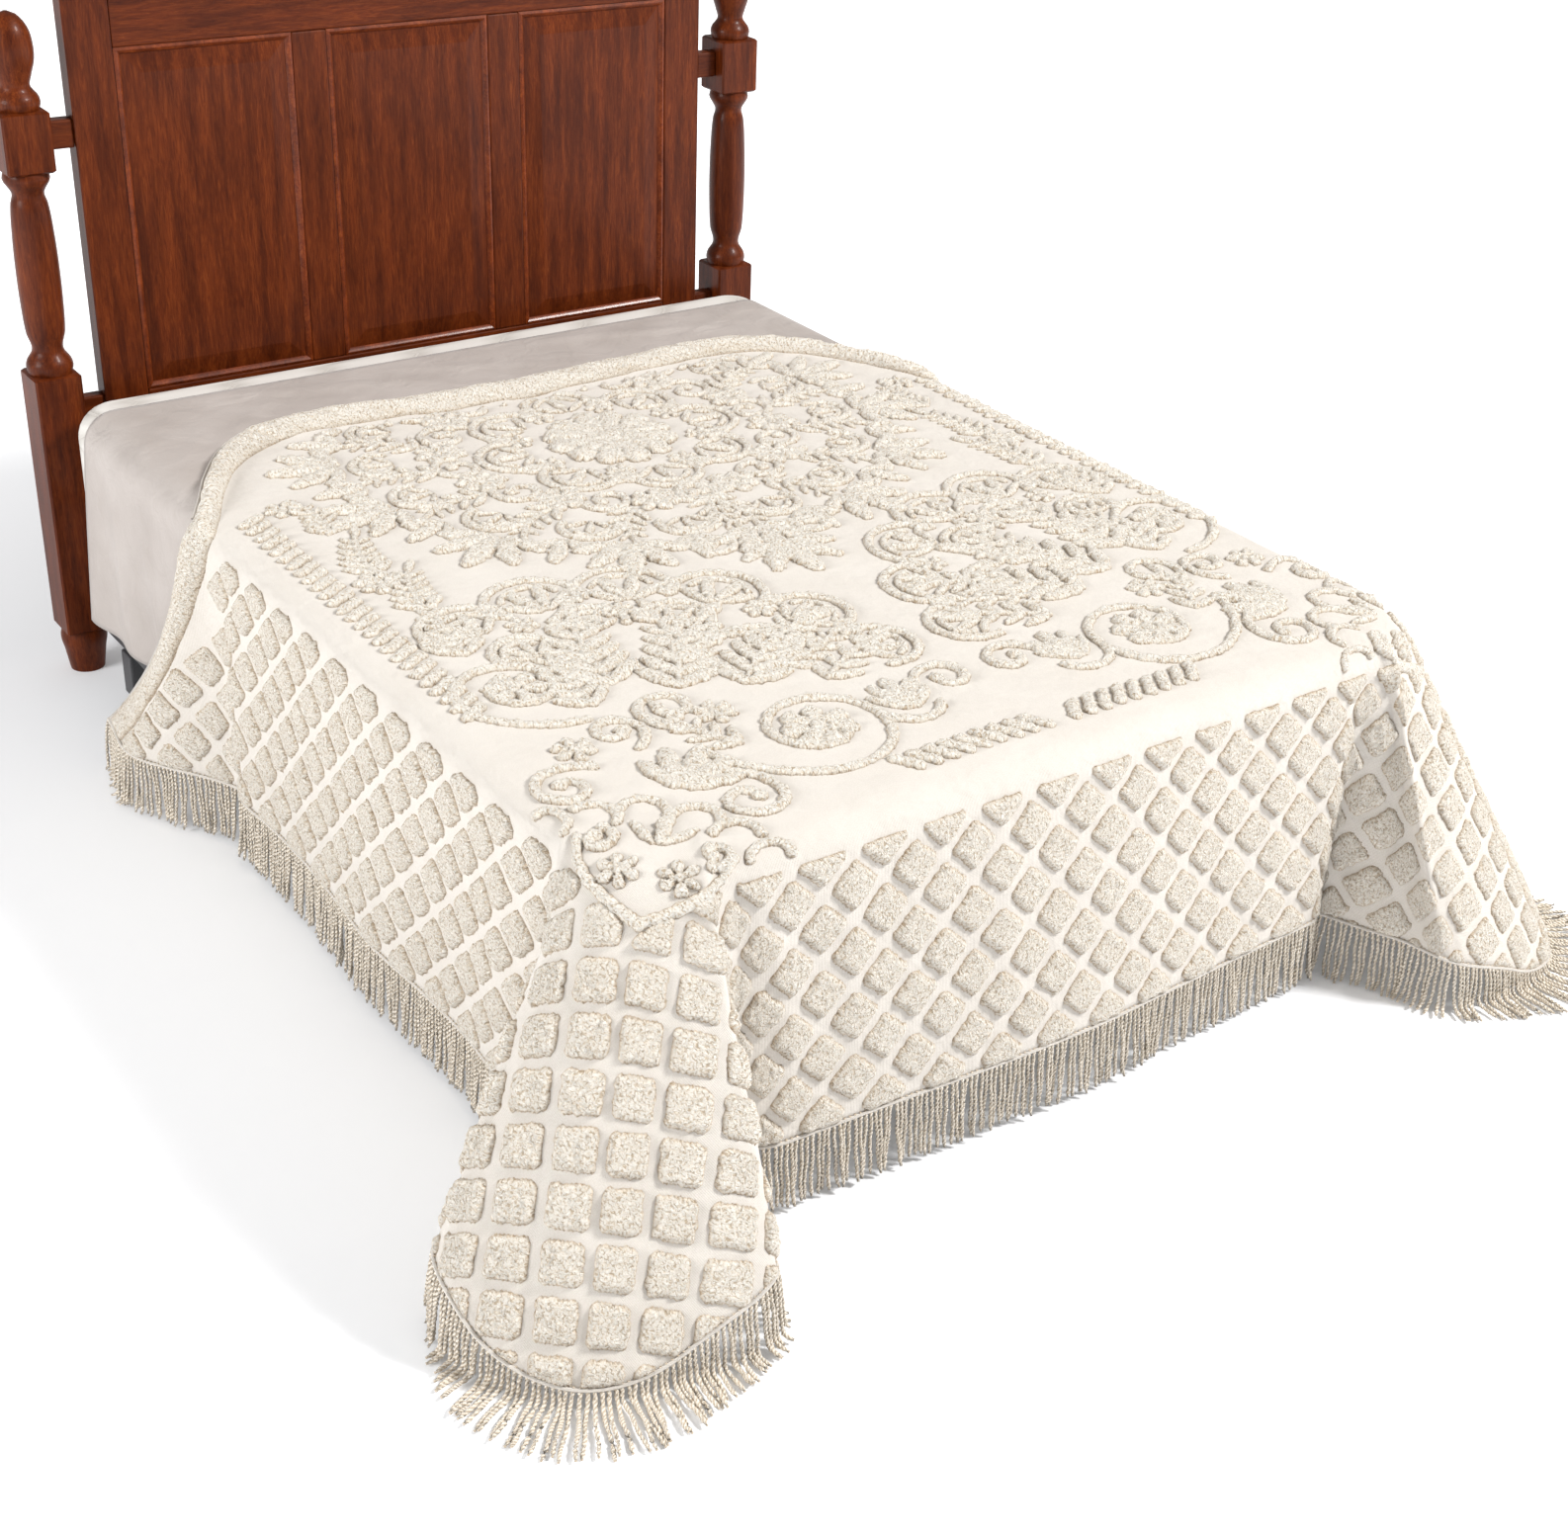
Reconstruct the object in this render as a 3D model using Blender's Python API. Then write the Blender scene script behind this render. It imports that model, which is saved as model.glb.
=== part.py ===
"""Chenille bedspread with a corded fringe, draped over a plain queen bed with a panelled headboard.

Metres, +Z up. The bed's head points to +Y and its foot to -Y. The drape is worked out from the flat cloth:
every point of the flat spread (u across, v from foot to head) has its place on the bed.
"""
import math

import bmesh
import bpy
import numpy as np

# Mattress and bed base
MATTRESS_WIDTH = 1.524
MATTRESS_LENGTH = 2.032
MATTRESS_TOP = 0.584
MATTRESS_THICKNESS = 0.250
MATTRESS_CORNER = 0.200
MATTRESS_EDGE = 0.062
HEAD_CORNER = 0.080
BOX_SPRING_THICKNESS = 0.190
BOX_SPRING_INSET = 0.012
RAIL_HEIGHT = 0.050
RAIL_WIDTH = 0.040
RAIL_INSET = 0.030
RAIL_START = 0.060
LEG_ROWS = (("foot", 0.160), ("middle", 1.020), ("head", 1.920))
LEG_SIZE = 0.050
GAP = 0.0003
SHEET_THICKNESS = 0.002

# Bedspread: one sheet as thick as this with its pile, resting on the bed sheet and clear of the bed's sides
CLOTH_THICKNESS = 0.006
CLOTH_CLEARANCE = 0.008
HALF_WIDTH = MATTRESS_WIDTH / 2 + CLOTH_CLEARANCE + CLOTH_THICKNESS / 2
FOOT_LINE = -(CLOTH_CLEARANCE + CLOTH_THICKNESS / 2)
TOP_LINE = MATTRESS_TOP + SHEET_THICKNESS + 2 * GAP + CLOTH_THICKNESS / 2
DROP = 0.470
CORNER_INSET = 0.200
BEND = 0.074
HEM_CORNER_RADIUS = 0.200
FLOOR_CLEARANCE = CLOTH_THICKNESS / 2 + 0.0015

# Head end: the hem is drawn down at both sides, with a rolled ridge along it
HEAD_AT_EDGE = 1.400
HEAD_HEM = (
    # share of the half width, v of the hem
    (0.00, 1.700),
    (0.35, 1.715),
    (0.55, 1.725),
    (0.72, 1.690),
    (0.81, 1.625),
    (0.89, 1.530),
    (0.96, 1.432),
    (1.00, HEAD_AT_EDGE),
    (1.04, HEAD_AT_EDGE),
)
RIDGE_HEIGHT = 0.018
RIDGE_WIDTH = 0.095
FAN_START = 1.290
FAN_OPENING = 0.290
FAN_CURVE = 2.2

# Plan of the hem, in metres out from the edge line of the bed. Side rows run from the corner to the head.
LEFT_SIDE_HEM = (
    # v, out, shift towards the head
    (0.300, 0.016, 0.000),
    (0.420, 0.007, 0.000),
    (0.550, 0.010, 0.000),
    (0.700, 0.020, 0.000),
    (0.850, 0.011, 0.000),
    (1.000, 0.005, 0.000),
    (1.120, 0.007, 0.000),
    (1.220, 0.014, 0.000),
    (1.290, 0.006, -0.005),
    (1.330, 0.060, 0.070),
    (1.365, 0.098, 0.150),
    (1.400, 0.094, 0.255),
)
RIGHT_SIDE_HEM = (
    (0.300, 0.020, 0.000),
    (0.460, 0.034, 0.000),
    (0.600, 0.052, 0.000),
    (0.760, 0.040, 0.000),
    (0.900, 0.014, 0.000),
    (1.040, 0.022, 0.000),
    (1.160, 0.048, 0.000),
    (1.240, 0.030, 0.000),
    (1.290, 0.010, -0.005),
    (1.330, 0.052, 0.070),
    (1.365, 0.086, 0.150),
    (1.400, 0.084, 0.255),
)
# Corner rows run from the side (0 degrees) to the foot (90 degrees): two ridges with a broad face between.
LEFT_CORNER_HEM = (
    # angle, out to the side, out to the foot
    (9.0, 0.024, -0.135),
    (17.0, 0.125, -0.082),
    (26.0, 0.255, -0.040),
    (34.0, 0.268, 0.055),
    (45.0, 0.185, 0.200),
    (55.0, 0.040, 0.238),
    (64.0, -0.098, 0.232),
    (73.0, -0.112, 0.112),
    (82.0, -0.160, 0.022),
)
RIGHT_CORNER_HEM = (
    (8.0, 0.022, -0.140),
    (17.0, 0.110, -0.090),
    (27.0, 0.232, -0.030),
    (36.0, 0.238, 0.085),
    (46.0, 0.150, 0.215),
    (55.0, 0.030, 0.236),
    (63.0, -0.092, 0.210),
    (73.0, -0.145, 0.120),
    (82.0, -0.205, 0.016),
)
FOOT_HEM = (
    # share of the width from left to right, out
    (0.16, 0.030),
    (0.28, 0.040),
    (0.40, 0.052),
    (0.52, 0.056),
    (0.64, 0.044),
    (0.76, 0.032),
    (0.84, 0.026),
)
ANGLE_PITCH = 0.5

# Mesh of the spread
TOP_COLUMNS = 16
HEAD_ROWS = 7
BODY_ROWS = 16
HEAD_ROWS_START = 0.85
CORNER_COLUMNS = 22
BEND_ROWS = 4
DROP_ROWS = 4

# Fringe
FRINGE_LENGTH = 0.115
FRINGE_BAND = 0.016
FRINGE_THICKNESS = 0.005
TINE_PITCH = 0.045
TINE_GAP_SHARE = 0.12
FRINGE_EASE = 0.004
FRINGE_FLOOR = FRINGE_THICKNESS / 2 + 0.0005
FRINGE_LEAN = 0.10

# Bed sheet
SHEET_START = 1.180
SHEET_BOTTOM = 0.175
SHEET_END = 1.930
SHEET_FLARE = 0.022
SHEET_LINES = 6

# Headboard
POST_HALF = 0.044
POST_CENTRE = 0.759
POST_PROFILE = (
    # height, half width, 1 round or 0 square
    (0.000, 0.034, 1),
    (0.080, 0.044, 1),
    (0.090, 0.044, 0),
    (0.620, 0.044, 0),
    (0.620, 0.040, 1),
    (0.640, 0.043, 1),
    (0.660, 0.030, 1),
    (0.700, 0.036, 1),
    (0.820, 0.039, 1),
    (0.940, 0.034, 1),
    (0.965, 0.029, 1),
    (0.985, 0.042, 1),
    (1.000, 0.040, 1),
    (1.000, 0.044, 0),
    (1.110, 0.044, 0),
    (1.110, 0.038, 1),
    (1.130, 0.042, 1),
    (1.150, 0.027, 1),
    (1.185, 0.037, 1),
    (1.225, 0.040, 1),
    (1.260, 0.031, 1),
    (1.280, 0.012, 1),
)
POST_SIDES = 24
HEADBOARD_Y = MATTRESS_LENGTH + 0.060
FRAME_DEPTH = 0.042
PANEL_DEPTH = 0.026
FRAME_HALF = 0.668
STILE_WIDTH = 0.085
MUNTIN_WIDTH = 0.070
BOTTOM_RAIL = (0.420, 0.560)
TOP_RAIL = (1.205, 1.300)
CAP_HEIGHT = 0.022
CAP_OVERHANG = 0.012
LINK_RAILS = ((0.424, 0.562), (1.034, 1.086))
LINK_DEPTH = 0.030
PANEL_COUNT = 3
PANEL_FIELD = 0.048
PANEL_RAISE = 0.008

IVORY = (0.87, 0.82, 0.73)
CORD = (0.84, 0.78, 0.68)
WHITE = (0.90, 0.90, 0.91)
TICKING = (0.85, 0.84, 0.81)
CHERRY = (0.165, 0.040, 0.022)
DARK_STEEL = (0.06, 0.06, 0.065)


def clear_scene():
    for item in list(bpy.data.objects):
        bpy.data.objects.remove(item, do_unlink=True)


def principled(name, colour, roughness, metallic=0.0):
    material = bpy.data.materials.new(name)
    material.use_nodes = True
    shader = material.node_tree.nodes["Principled BSDF"]
    shader.inputs["Base Color"].default_value = (*colour, 1.0)
    shader.inputs["Roughness"].default_value = roughness
    shader.inputs["Metallic"].default_value = metallic
    return material


def add_object(name, mesh, material):
    item = bpy.data.objects.new(name, mesh)
    bpy.context.scene.collection.objects.link(item)
    mesh.materials.append(material)
    return item


def mesh_from_bmesh(name, bm):
    mesh = bpy.data.meshes.new(name)
    bm.to_mesh(mesh)
    bm.free()
    return mesh


# ---------------------------------------------------------------- the drape

def smooth_through(stations, values, at):
    """Cubic curve through a table's rows, read at any stations."""
    stations = np.asarray(stations, float)
    values = np.asarray(values, float)
    slopes = np.gradient(values, stations)
    at = np.clip(at, stations[0], stations[-1])
    row = np.clip(np.searchsorted(stations, at) - 1, 0, len(stations) - 2)
    step = stations[row + 1] - stations[row]
    t = (at - stations[row]) / step
    start = (1 + 2 * t) * (1 - t) ** 2 * values[row] + t * (1 - t) ** 2 * step * slopes[row]
    end = t * t * (3 - 2 * t) * values[row + 1] + t * t * (t - 1) * step * slopes[row + 1]
    return start + end


def hem_table(side_rows, corner_rows, mirrored):
    """Rows (station, x, y) of the hem's plan, from the head round the corner to past the foot's middle."""
    side_zero = FOOT_LINE + CORNER_INSET
    foot_start = math.pi / 2 * ANGLE_PITCH
    rows = []
    for v, out, shift in reversed(side_rows):
        rows.append((side_zero - v, HALF_WIDTH + out, v + shift))
    for angle, side_out, foot_out in corner_rows:
        rows.append((math.radians(angle) * ANGLE_PITCH, HALF_WIDTH + side_out, FOOT_LINE - foot_out))
    foot_rows = []
    for share, out in FOOT_HEM:
        along = (1 - share if mirrored else share) * 2 * HALF_WIDTH
        station = foot_start + along - CORNER_INSET
        foot_rows.append((station, HALF_WIDTH - along, FOOT_LINE - out))
    return np.array(rows + sorted(foot_rows))


HEM_TABLES = {
    -1: hem_table(LEFT_SIDE_HEM, LEFT_CORNER_HEM, False),
    1: hem_table(RIGHT_SIDE_HEM, RIGHT_CORNER_HEM, True),
}


def head_hem(u):
    shares = [row[0] for row in HEAD_HEM]
    ends = [row[1] for row in HEAD_HEM]
    return smooth_through(shares, ends, np.abs(u) / HALF_WIDTH)


def reach_to_hem(angle):
    """Flat distance from a corner's pivot to the round-cut hem, by angle from the side."""
    along = np.cos(angle)
    across = np.sin(angle)
    full = CORNER_INSET + DROP
    straight = full / np.maximum(along, across)
    centre = full - HEM_CORNER_RADIUS
    middle = centre * (along + across)
    arc = middle + np.sqrt(np.maximum(middle ** 2 - 2 * centre ** 2 + HEM_CORNER_RADIUS ** 2, 0.0))
    on_arc = np.minimum(along, across) * straight > centre
    return np.where(on_arc, arc, straight)


def place(u, v):
    """Where points of the flat spread lie on the bed, and how far each has turned from flat to hanging."""
    u, v = np.broadcast_arrays(np.asarray(u, float), np.asarray(v, float))
    side = np.where(u < 0, -1.0, 1.0)
    beyond_side = np.maximum(np.abs(u) - (HALF_WIDTH - CORNER_INSET), 0.0)
    beyond_foot = np.maximum(FOOT_LINE + CORNER_INSET - v, 0.0)
    reach = np.hypot(beyond_side, beyond_foot)
    safe = np.maximum(reach, 1e-9)
    out_x = side * beyond_side / safe
    out_y = -beyond_foot / safe
    base_x = u - side * beyond_side
    base_y = v + beyond_foot

    # Along the sides the head end opens like a fan below the bed's edge
    fall = np.clip((beyond_side - CORNER_INSET) / DROP, 0.0, 1.0) ** FAN_CURVE
    spread = FAN_OPENING / (HEAD_AT_EDGE - FAN_START) * fall
    fanned = (v + spread * FAN_START) / (1 + spread)
    v_ray = np.where((v > FAN_START) & (beyond_foot == 0), fanned, v)
    base_y = np.where(beyond_foot == 0, v_ray, base_y)

    angle = np.arctan2(beyond_foot, beyond_side)
    foot_station = math.pi / 2 * ANGLE_PITCH + (HALF_WIDTH - CORNER_INSET) - np.abs(u)
    station = np.where(beyond_foot == 0, FOOT_LINE + CORNER_INSET - v_ray, angle * ANGLE_PITCH)
    station = np.where((beyond_side == 0) & (beyond_foot > 0), foot_station, station)
    hem_x = np.zeros_like(u)
    hem_y = np.zeros_like(u)
    for sign, table in HEM_TABLES.items():
        chosen = side == sign
        hem_x[chosen] = sign * smooth_through(table[:, 0], table[:, 1], station[chosen])
        hem_y[chosen] = smooth_through(table[:, 0], table[:, 2], station[chosen])

    edge_x = base_x + CORNER_INSET * out_x
    edge_y = base_y + CORNER_INSET * out_y
    slant = FAN_OPENING * np.clip((v_ray - FAN_START) / (HEAD_AT_EDGE - FAN_START), 0.0, None)
    straight = np.where(beyond_foot == 0, np.hypot(DROP, slant), reach_to_hem(angle) - CORNER_INSET)
    run_x = hem_x - edge_x
    run_y = hem_y - edge_y
    run = np.maximum(np.hypot(run_x, run_y), 1e-6)
    room = TOP_LINE - FLOOR_CLEARANCE
    needed = np.sqrt(np.maximum(straight ** 2 - room ** 2, 0.0))
    stretch = np.maximum(1.0, needed / run)
    run_x = run_x * stretch
    run_y = run_y * stretch
    fall_z = np.sqrt(np.maximum(straight ** 2 - (run * stretch) ** 2, 1e-6))

    turn = np.clip((reach - (CORNER_INSET - BEND)) / (2 * BEND), 0.0, 1.0)
    hang = 2 * BEND * (turn ** 3 - turn ** 4 / 2) + np.maximum(reach - CORNER_INSET - BEND, 0.0)
    flat = reach - hang
    hang = hang * np.where(beyond_foot == 0, straight / DROP, 1.0)
    share = hang / straight
    x = base_x + flat * out_x + run_x * share
    curve = np.where((beyond_foot == 0) & (v_ray > FAN_START / 2), FAN_CURVE, 1.0)
    y = base_y + flat * out_y + run_y * share ** curve
    z = TOP_LINE - fall_z * share

    # The rolled ridge along the head hem
    turned = turn ** 2 * (3 - 2 * turn)
    head = np.where(np.abs(u) < HALF_WIDTH, head_hem(np.minimum(np.abs(u), HALF_WIDTH)), HEAD_AT_EDGE)
    back = (head - np.where(beyond_side > 0, v_ray, v)) / RIDGE_WIDTH
    ridge = RIDGE_HEIGHT * np.sin(math.pi * np.clip(back, 0.0, 1.0)) ** 2
    lift = np.where(beyond_foot == 0, ridge, 0.0)
    x = x + lift * turned * out_x
    z = z + lift * (1 - turned)
    return np.stack([x, y, z], axis=-1)


def flat_rows():
    """Flat distances from the pivot line: the bend's rows, then shares of the straight drop."""
    bend = [CORNER_INSET - BEND + 2 * BEND * k / BEND_ROWS for k in range(BEND_ROWS + 1)]
    shares = [(k + 1) / DROP_ROWS for k in range(DROP_ROWS)]
    return bend, shares


def row_reaches(hem_reach):
    bend, shares = flat_rows()
    start = bend[-1]
    return [0.0] + bend + [start + share * (hem_reach - start) for share in shares]


def head_shares():
    body = np.linspace(0.0, HEAD_ROWS_START, BODY_ROWS + 1)
    head = np.linspace(HEAD_ROWS_START, 1.0, HEAD_ROWS + 1)
    return np.concatenate([body, head[1:]])


def side_strip(sign):
    """Flat points of one side, a list for each row from the foot corner to the head."""
    start = FOOT_LINE + CORNER_INSET
    strip = []
    for share in head_shares():
        points = []
        for reach in row_reaches(CORNER_INSET + DROP):
            u = HALF_WIDTH - CORNER_INSET + reach
            if reach <= CORNER_INSET:
                v = start + share * (float(head_hem(u)) - start)
            else:
                v_ray = start + share * (HEAD_AT_EDGE - start)
                fall = ((reach - CORNER_INSET) / DROP) ** FAN_CURVE
                opened = FAN_OPENING * max(v_ray - FAN_START, 0.0) / (HEAD_AT_EDGE - FAN_START)
                v = v_ray + fall * opened
            points.append((sign * u, v))
        strip.append(points)
    return strip


def corner_strip(sign):
    """Flat points of one corner, a list for each ray from the side to the foot."""
    strip = []
    for k in range(CORNER_COLUMNS + 1):
        angle = math.pi / 2 * k / CORNER_COLUMNS
        rays = row_reaches(float(reach_to_hem(np.array(angle))))
        pivot_u = HALF_WIDTH - CORNER_INSET
        pivot_v = FOOT_LINE + CORNER_INSET
        strip.append([(sign * (pivot_u + r * math.cos(angle)), pivot_v - r * math.sin(angle)) for r in rays])
    return strip


def top_columns():
    half = HALF_WIDTH - CORNER_INSET
    return np.linspace(-half, half, TOP_COLUMNS + 1)


def foot_strip():
    pivot_v = FOOT_LINE + CORNER_INSET
    return [[(u, pivot_v - r) for r in row_reaches(CORNER_INSET + DROP)] for u in top_columns()]


def top_grid():
    start = FOOT_LINE + CORNER_INSET
    return [[(u, start + share * (float(head_hem(u)) - start)) for share in head_shares()] for u in top_columns()]


def add_patch(bm, known, strip, flip):
    """Faces between neighbouring lists of flat points; points that coincide are shared."""
    def vertex(point):
        key = (round(point[0], 5), round(point[1], 5))
        if key not in known:
            known[key] = bm.verts.new(place(point[0], point[1]).tolist())
        return known[key]

    for left, right in zip(strip, strip[1:]):
        for k in range(len(left) - 1):
            ring = [vertex(left[k]), vertex(left[k + 1]), vertex(right[k + 1]), vertex(right[k])]
            corners = list(dict.fromkeys(ring))
            if len(corners) < 3:
                continue
            bm.faces.new(corners[::-1] if flip else corners)


def build_bedspread(material):
    bm = bmesh.new()
    known = {}
    add_patch(bm, known, top_grid(), True)
    add_patch(bm, known, foot_strip(), False)
    for sign in (-1, 1):
        add_patch(bm, known, side_strip(sign), sign < 0)
        add_patch(bm, known, corner_strip(sign), sign > 0)
    bmesh.ops.recalc_face_normals(bm, faces=bm.faces)
    item = add_object("bedspread", mesh_from_bmesh("bedspread", bm), material)
    item.data.shade_smooth()
    thickness = item.modifiers.new("Cloth thickness", "SOLIDIFY")
    thickness.thickness = CLOTH_THICKNESS
    thickness.offset = 0.0
    thickness.use_even_offset = True
    return item


# ---------------------------------------------------------------- the fringe

def hem_line():
    """Flat hem points and the points just above them, from the left head corner round to the right one."""
    line = []
    for points in reversed(side_strip(-1)):
        line.append(points)
    line += corner_strip(-1)[1:]
    line += foot_strip()[1:]
    line += list(reversed(corner_strip(1)))[1:]
    line += side_strip(1)[1:]
    ends = np.array([[points[-1], points[-2]] for points in line])
    hem = place(ends[:, 0, 0], ends[:, 0, 1])
    above = place(ends[:, 1, 0], ends[:, 1, 1])
    return hem, above


def cord_path(first, down, out):
    """Points along one hanging cord: straight down, or down to the floor and outwards along it."""
    room = first[2] - FRINGE_FLOOR
    lean = np.array([out[0], out[1], 0.0])
    hanging = lean * FRINGE_LEAN + np.array([0.0, 0.0, -1.0])
    hanging /= np.linalg.norm(hanging)
    band = first + (down + hanging) / np.linalg.norm(down + hanging) * FRINGE_BAND
    band[2] = max(band[2], FRINGE_FLOOR)
    left = FRINGE_LENGTH - FRINGE_BAND
    height = band[2] - FRINGE_FLOOR
    if room > FRINGE_LENGTH:
        return [first, band, band + hanging * left]
    slope = np.array([lean[0] * 0.75, lean[1] * 0.75, -0.66])
    slope /= np.linalg.norm(slope)
    sloped = min(height / -slope[2], left * 0.9)
    landing = band + slope * max(sloped, 0.0)
    if sloped < left * 0.25:
        landing = band + lean * left * 0.4
        landing[2] = FRINGE_FLOOR
        sloped = left * 0.4
    return [first, band, landing, landing + lean * (left - sloped)]


def fill_rows(path, rows):
    """Adds points to the middle of a path's last length until it has as many rows as its neighbour."""
    while len(path) < rows:
        path = path[:-1] + [(path[-2] + path[-1]) / 2, path[-1]]
    return path


def unit(vectors):
    return vectors / np.linalg.norm(vectors, axis=-1, keepdims=True)


def shared(values):
    """Each corner of the hem line takes the mean of the two lengths that meet there."""
    ends = np.concatenate([values[:1], values, values[-1:]])
    return unit(ends[:-1] + ends[1:])


def build_fringe(material):
    hem, above = hem_line()
    down = unit(hem - above)
    along = hem[1:] - hem[:-1]
    facing = shared(unit(np.cross(down[:-1] + down[1:], along)))
    outwards = shared(unit(np.stack([along[:, 1], -along[:, 0]], axis=-1)))
    course = unit(along)
    away = unit(np.cross(along, facing[:-1] + facing[1:]))
    bends = np.arccos(np.clip(np.sum(course[:-1] * course[1:], axis=1), -1.0, 1.0))
    seats = GAP + FRINGE_EASE * np.concatenate([[0.0], bends, [0.0]])
    columns = []
    for k in range(len(along)):
        tines = max(1, round(float(np.linalg.norm(along[k])) / TINE_PITCH))
        for tine in range(tines):
            ends = []
            for share in ((tine + TINE_GAP_SHARE / 2) / tines, (tine + 1 - TINE_GAP_SHARE / 2) / tines):
                fall, out, face = (unit(each[k] * (1 - share) + each[k + 1] * share)
                                   for each in (down, outwards, facing))
                seat = seats[k] * (1 - share) + seats[k + 1] * share
                ends.append((cord_path(hem[k] + along[k] * share + away[k] * seat, fall, out), out, face))
            rows = max(len(path) for path, out, face in ends)
            columns += [(fill_rows(path, rows), out, face) for path, out, face in ends]
    bm = bmesh.new()
    sheets = []
    for path, out, face in columns:
        outer = []
        inner = []
        for row, point in enumerate(path):
            before = path[max(row - 1, 0)]
            after = path[min(row + 1, len(path) - 1)]
            tangent = (after - before) / np.linalg.norm(after - before)
            normal = unit(np.array([out[0] * -tangent[2], out[1] * -tangent[2], tangent[:2] @ out]))
            if row == 0:
                normal = face
            outer.append(bm.verts.new((point + normal * FRINGE_THICKNESS / 2).tolist()))
            inner.append(bm.verts.new((point - normal * FRINGE_THICKNESS / 2).tolist()))
        sheets.append((outer, inner))
    for k, ((a, c), (b, d)) in enumerate(zip(sheets, sheets[1:])):
        end = len(a) - 1 if k % 2 == 0 else 1
        for row in range(end):
            bm.faces.new([a[row], a[row + 1], b[row + 1], b[row]])
            bm.faces.new([c[row], d[row], d[row + 1], c[row + 1]])
            if row > 0:
                bm.faces.new([a[row], c[row], c[row + 1], a[row + 1]])
                bm.faces.new([b[row], b[row + 1], d[row + 1], d[row]])
        bm.faces.new([a[0], b[0], d[0], c[0]])
        bm.faces.new([a[end], c[end], d[end], b[end]])
    for outer, inner in (sheets[0], sheets[-1]):
        bm.faces.new([outer[0], outer[1], inner[1], inner[0]])
    bmesh.ops.recalc_face_normals(bm, faces=bm.faces)
    return add_object("fringe", mesh_from_bmesh("fringe", bm), material)


# ---------------------------------------------------------------- the bed

def add_box(name, low, high, material, bevel=0.0, segments=2):
    bm = bmesh.new()
    bmesh.ops.create_cube(bm, size=1.0)
    size = [high[k] - low[k] for k in range(3)]
    bmesh.ops.scale(bm, vec=size, verts=bm.verts)
    item = add_object(name, mesh_from_bmesh(name, bm), material)
    item.location = [(high[k] + low[k]) / 2 for k in range(3)]
    if bevel:
        edge = item.modifiers.new("Eased edges", "BEVEL")
        edge.width = bevel
        edge.segments = segments
        item.data.shade_smooth()
        item.data.set_sharp_from_angle(angle=math.radians(35))
    return item


def rounded_outline(width, length, foot_radius, head_radius, steps):
    """Plan outline of a rounded rectangle with its foot edge on y = 0, anticlockwise."""
    points = []
    for turn, (sx, sy) in enumerate(((1, 0), (1, 1), (-1, 1), (-1, 0))):
        radius = head_radius if sy else foot_radius
        centre_x = sx * (width / 2 - radius)
        centre_y = length - radius if sy else radius
        for step in range(steps + 1):
            angle = math.radians(-90 + 90 * turn + 90 * step / steps)
            points.append((centre_x + radius * math.cos(angle), centre_y + radius * math.sin(angle)))
    return points


def add_cushion_block(name, inset, bottom, top, corner, edge, material):
    """Mattress-like block: a rounded plan lofted through rings whose inset follows a round edge."""
    rings = []
    turns = 5
    for step in range(turns + 1):
        angle = math.pi / 2 * step / turns
        rings.append((edge * (1 - math.sin(angle)), bottom + edge * (1 - math.cos(angle))))
    rings += [(draw_in, top - (z - bottom)) for draw_in, z in reversed(rings)]
    bm = bmesh.new()
    loops = []
    for draw_in, z in rings:
        inwards = inset + draw_in
        outline = rounded_outline(MATTRESS_WIDTH - 2 * inwards, MATTRESS_LENGTH - 2 * inwards,
                                  corner - draw_in, HEAD_CORNER - draw_in, 6)
        loops.append([bm.verts.new((x, y + inwards, z)) for x, y in outline])
    for low, high in zip(loops, loops[1:]):
        for k in range(len(low)):
            after = (k + 1) % len(low)
            bm.faces.new([low[k], low[after], high[after], high[k]])
    bm.faces.new(list(reversed(loops[0])))
    bm.faces.new(loops[-1])
    item = add_object(name, mesh_from_bmesh(name, bm), material)
    item.data.shade_smooth()
    item.data.set_sharp_from_angle(angle=math.radians(35))
    return item


def build_bed_sheet(material):
    """The white sheet across the head end, its section running down one side, over and down the other."""
    half = MATTRESS_WIDTH / 2 + GAP + SHEET_THICKNESS / 2
    top = MATTRESS_TOP + GAP + SHEET_THICKNESS / 2
    arc_steps = 5
    bm = bmesh.new()
    grid = []
    for line in range(SHEET_LINES + 1):
        share = line / SHEET_LINES
        y = SHEET_START + (SHEET_END - SHEET_START) * share
        flare = SHEET_FLARE * max(0.0, share - 0.45) / 0.55
        right = [(half + flare, SHEET_BOTTOM), (half + flare * 0.35, 0.36)]
        for step in range(arc_steps + 1):
            angle = math.pi / 2 * step / arc_steps
            right.append((half + MATTRESS_EDGE * (math.cos(angle) - 1), top + MATTRESS_EDGE * (math.sin(angle) - 1)))
        section = right + [(-x, z) for x, z in reversed(right)]
        grid.append([bm.verts.new((x, y, z)) for x, z in section])
    for near, far in zip(grid, grid[1:]):
        for k in range(len(near) - 1):
            bm.faces.new([near[k], far[k], far[k + 1], near[k + 1]])
    bmesh.ops.recalc_face_normals(bm, faces=bm.faces)
    item = add_object("bed_sheet", mesh_from_bmesh("bed_sheet", bm), material)
    item.data.shade_smooth()
    thickness = item.modifiers.new("Cloth thickness", "SOLIDIFY")
    thickness.thickness = SHEET_THICKNESS
    thickness.offset = 0.0
    return item


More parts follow.
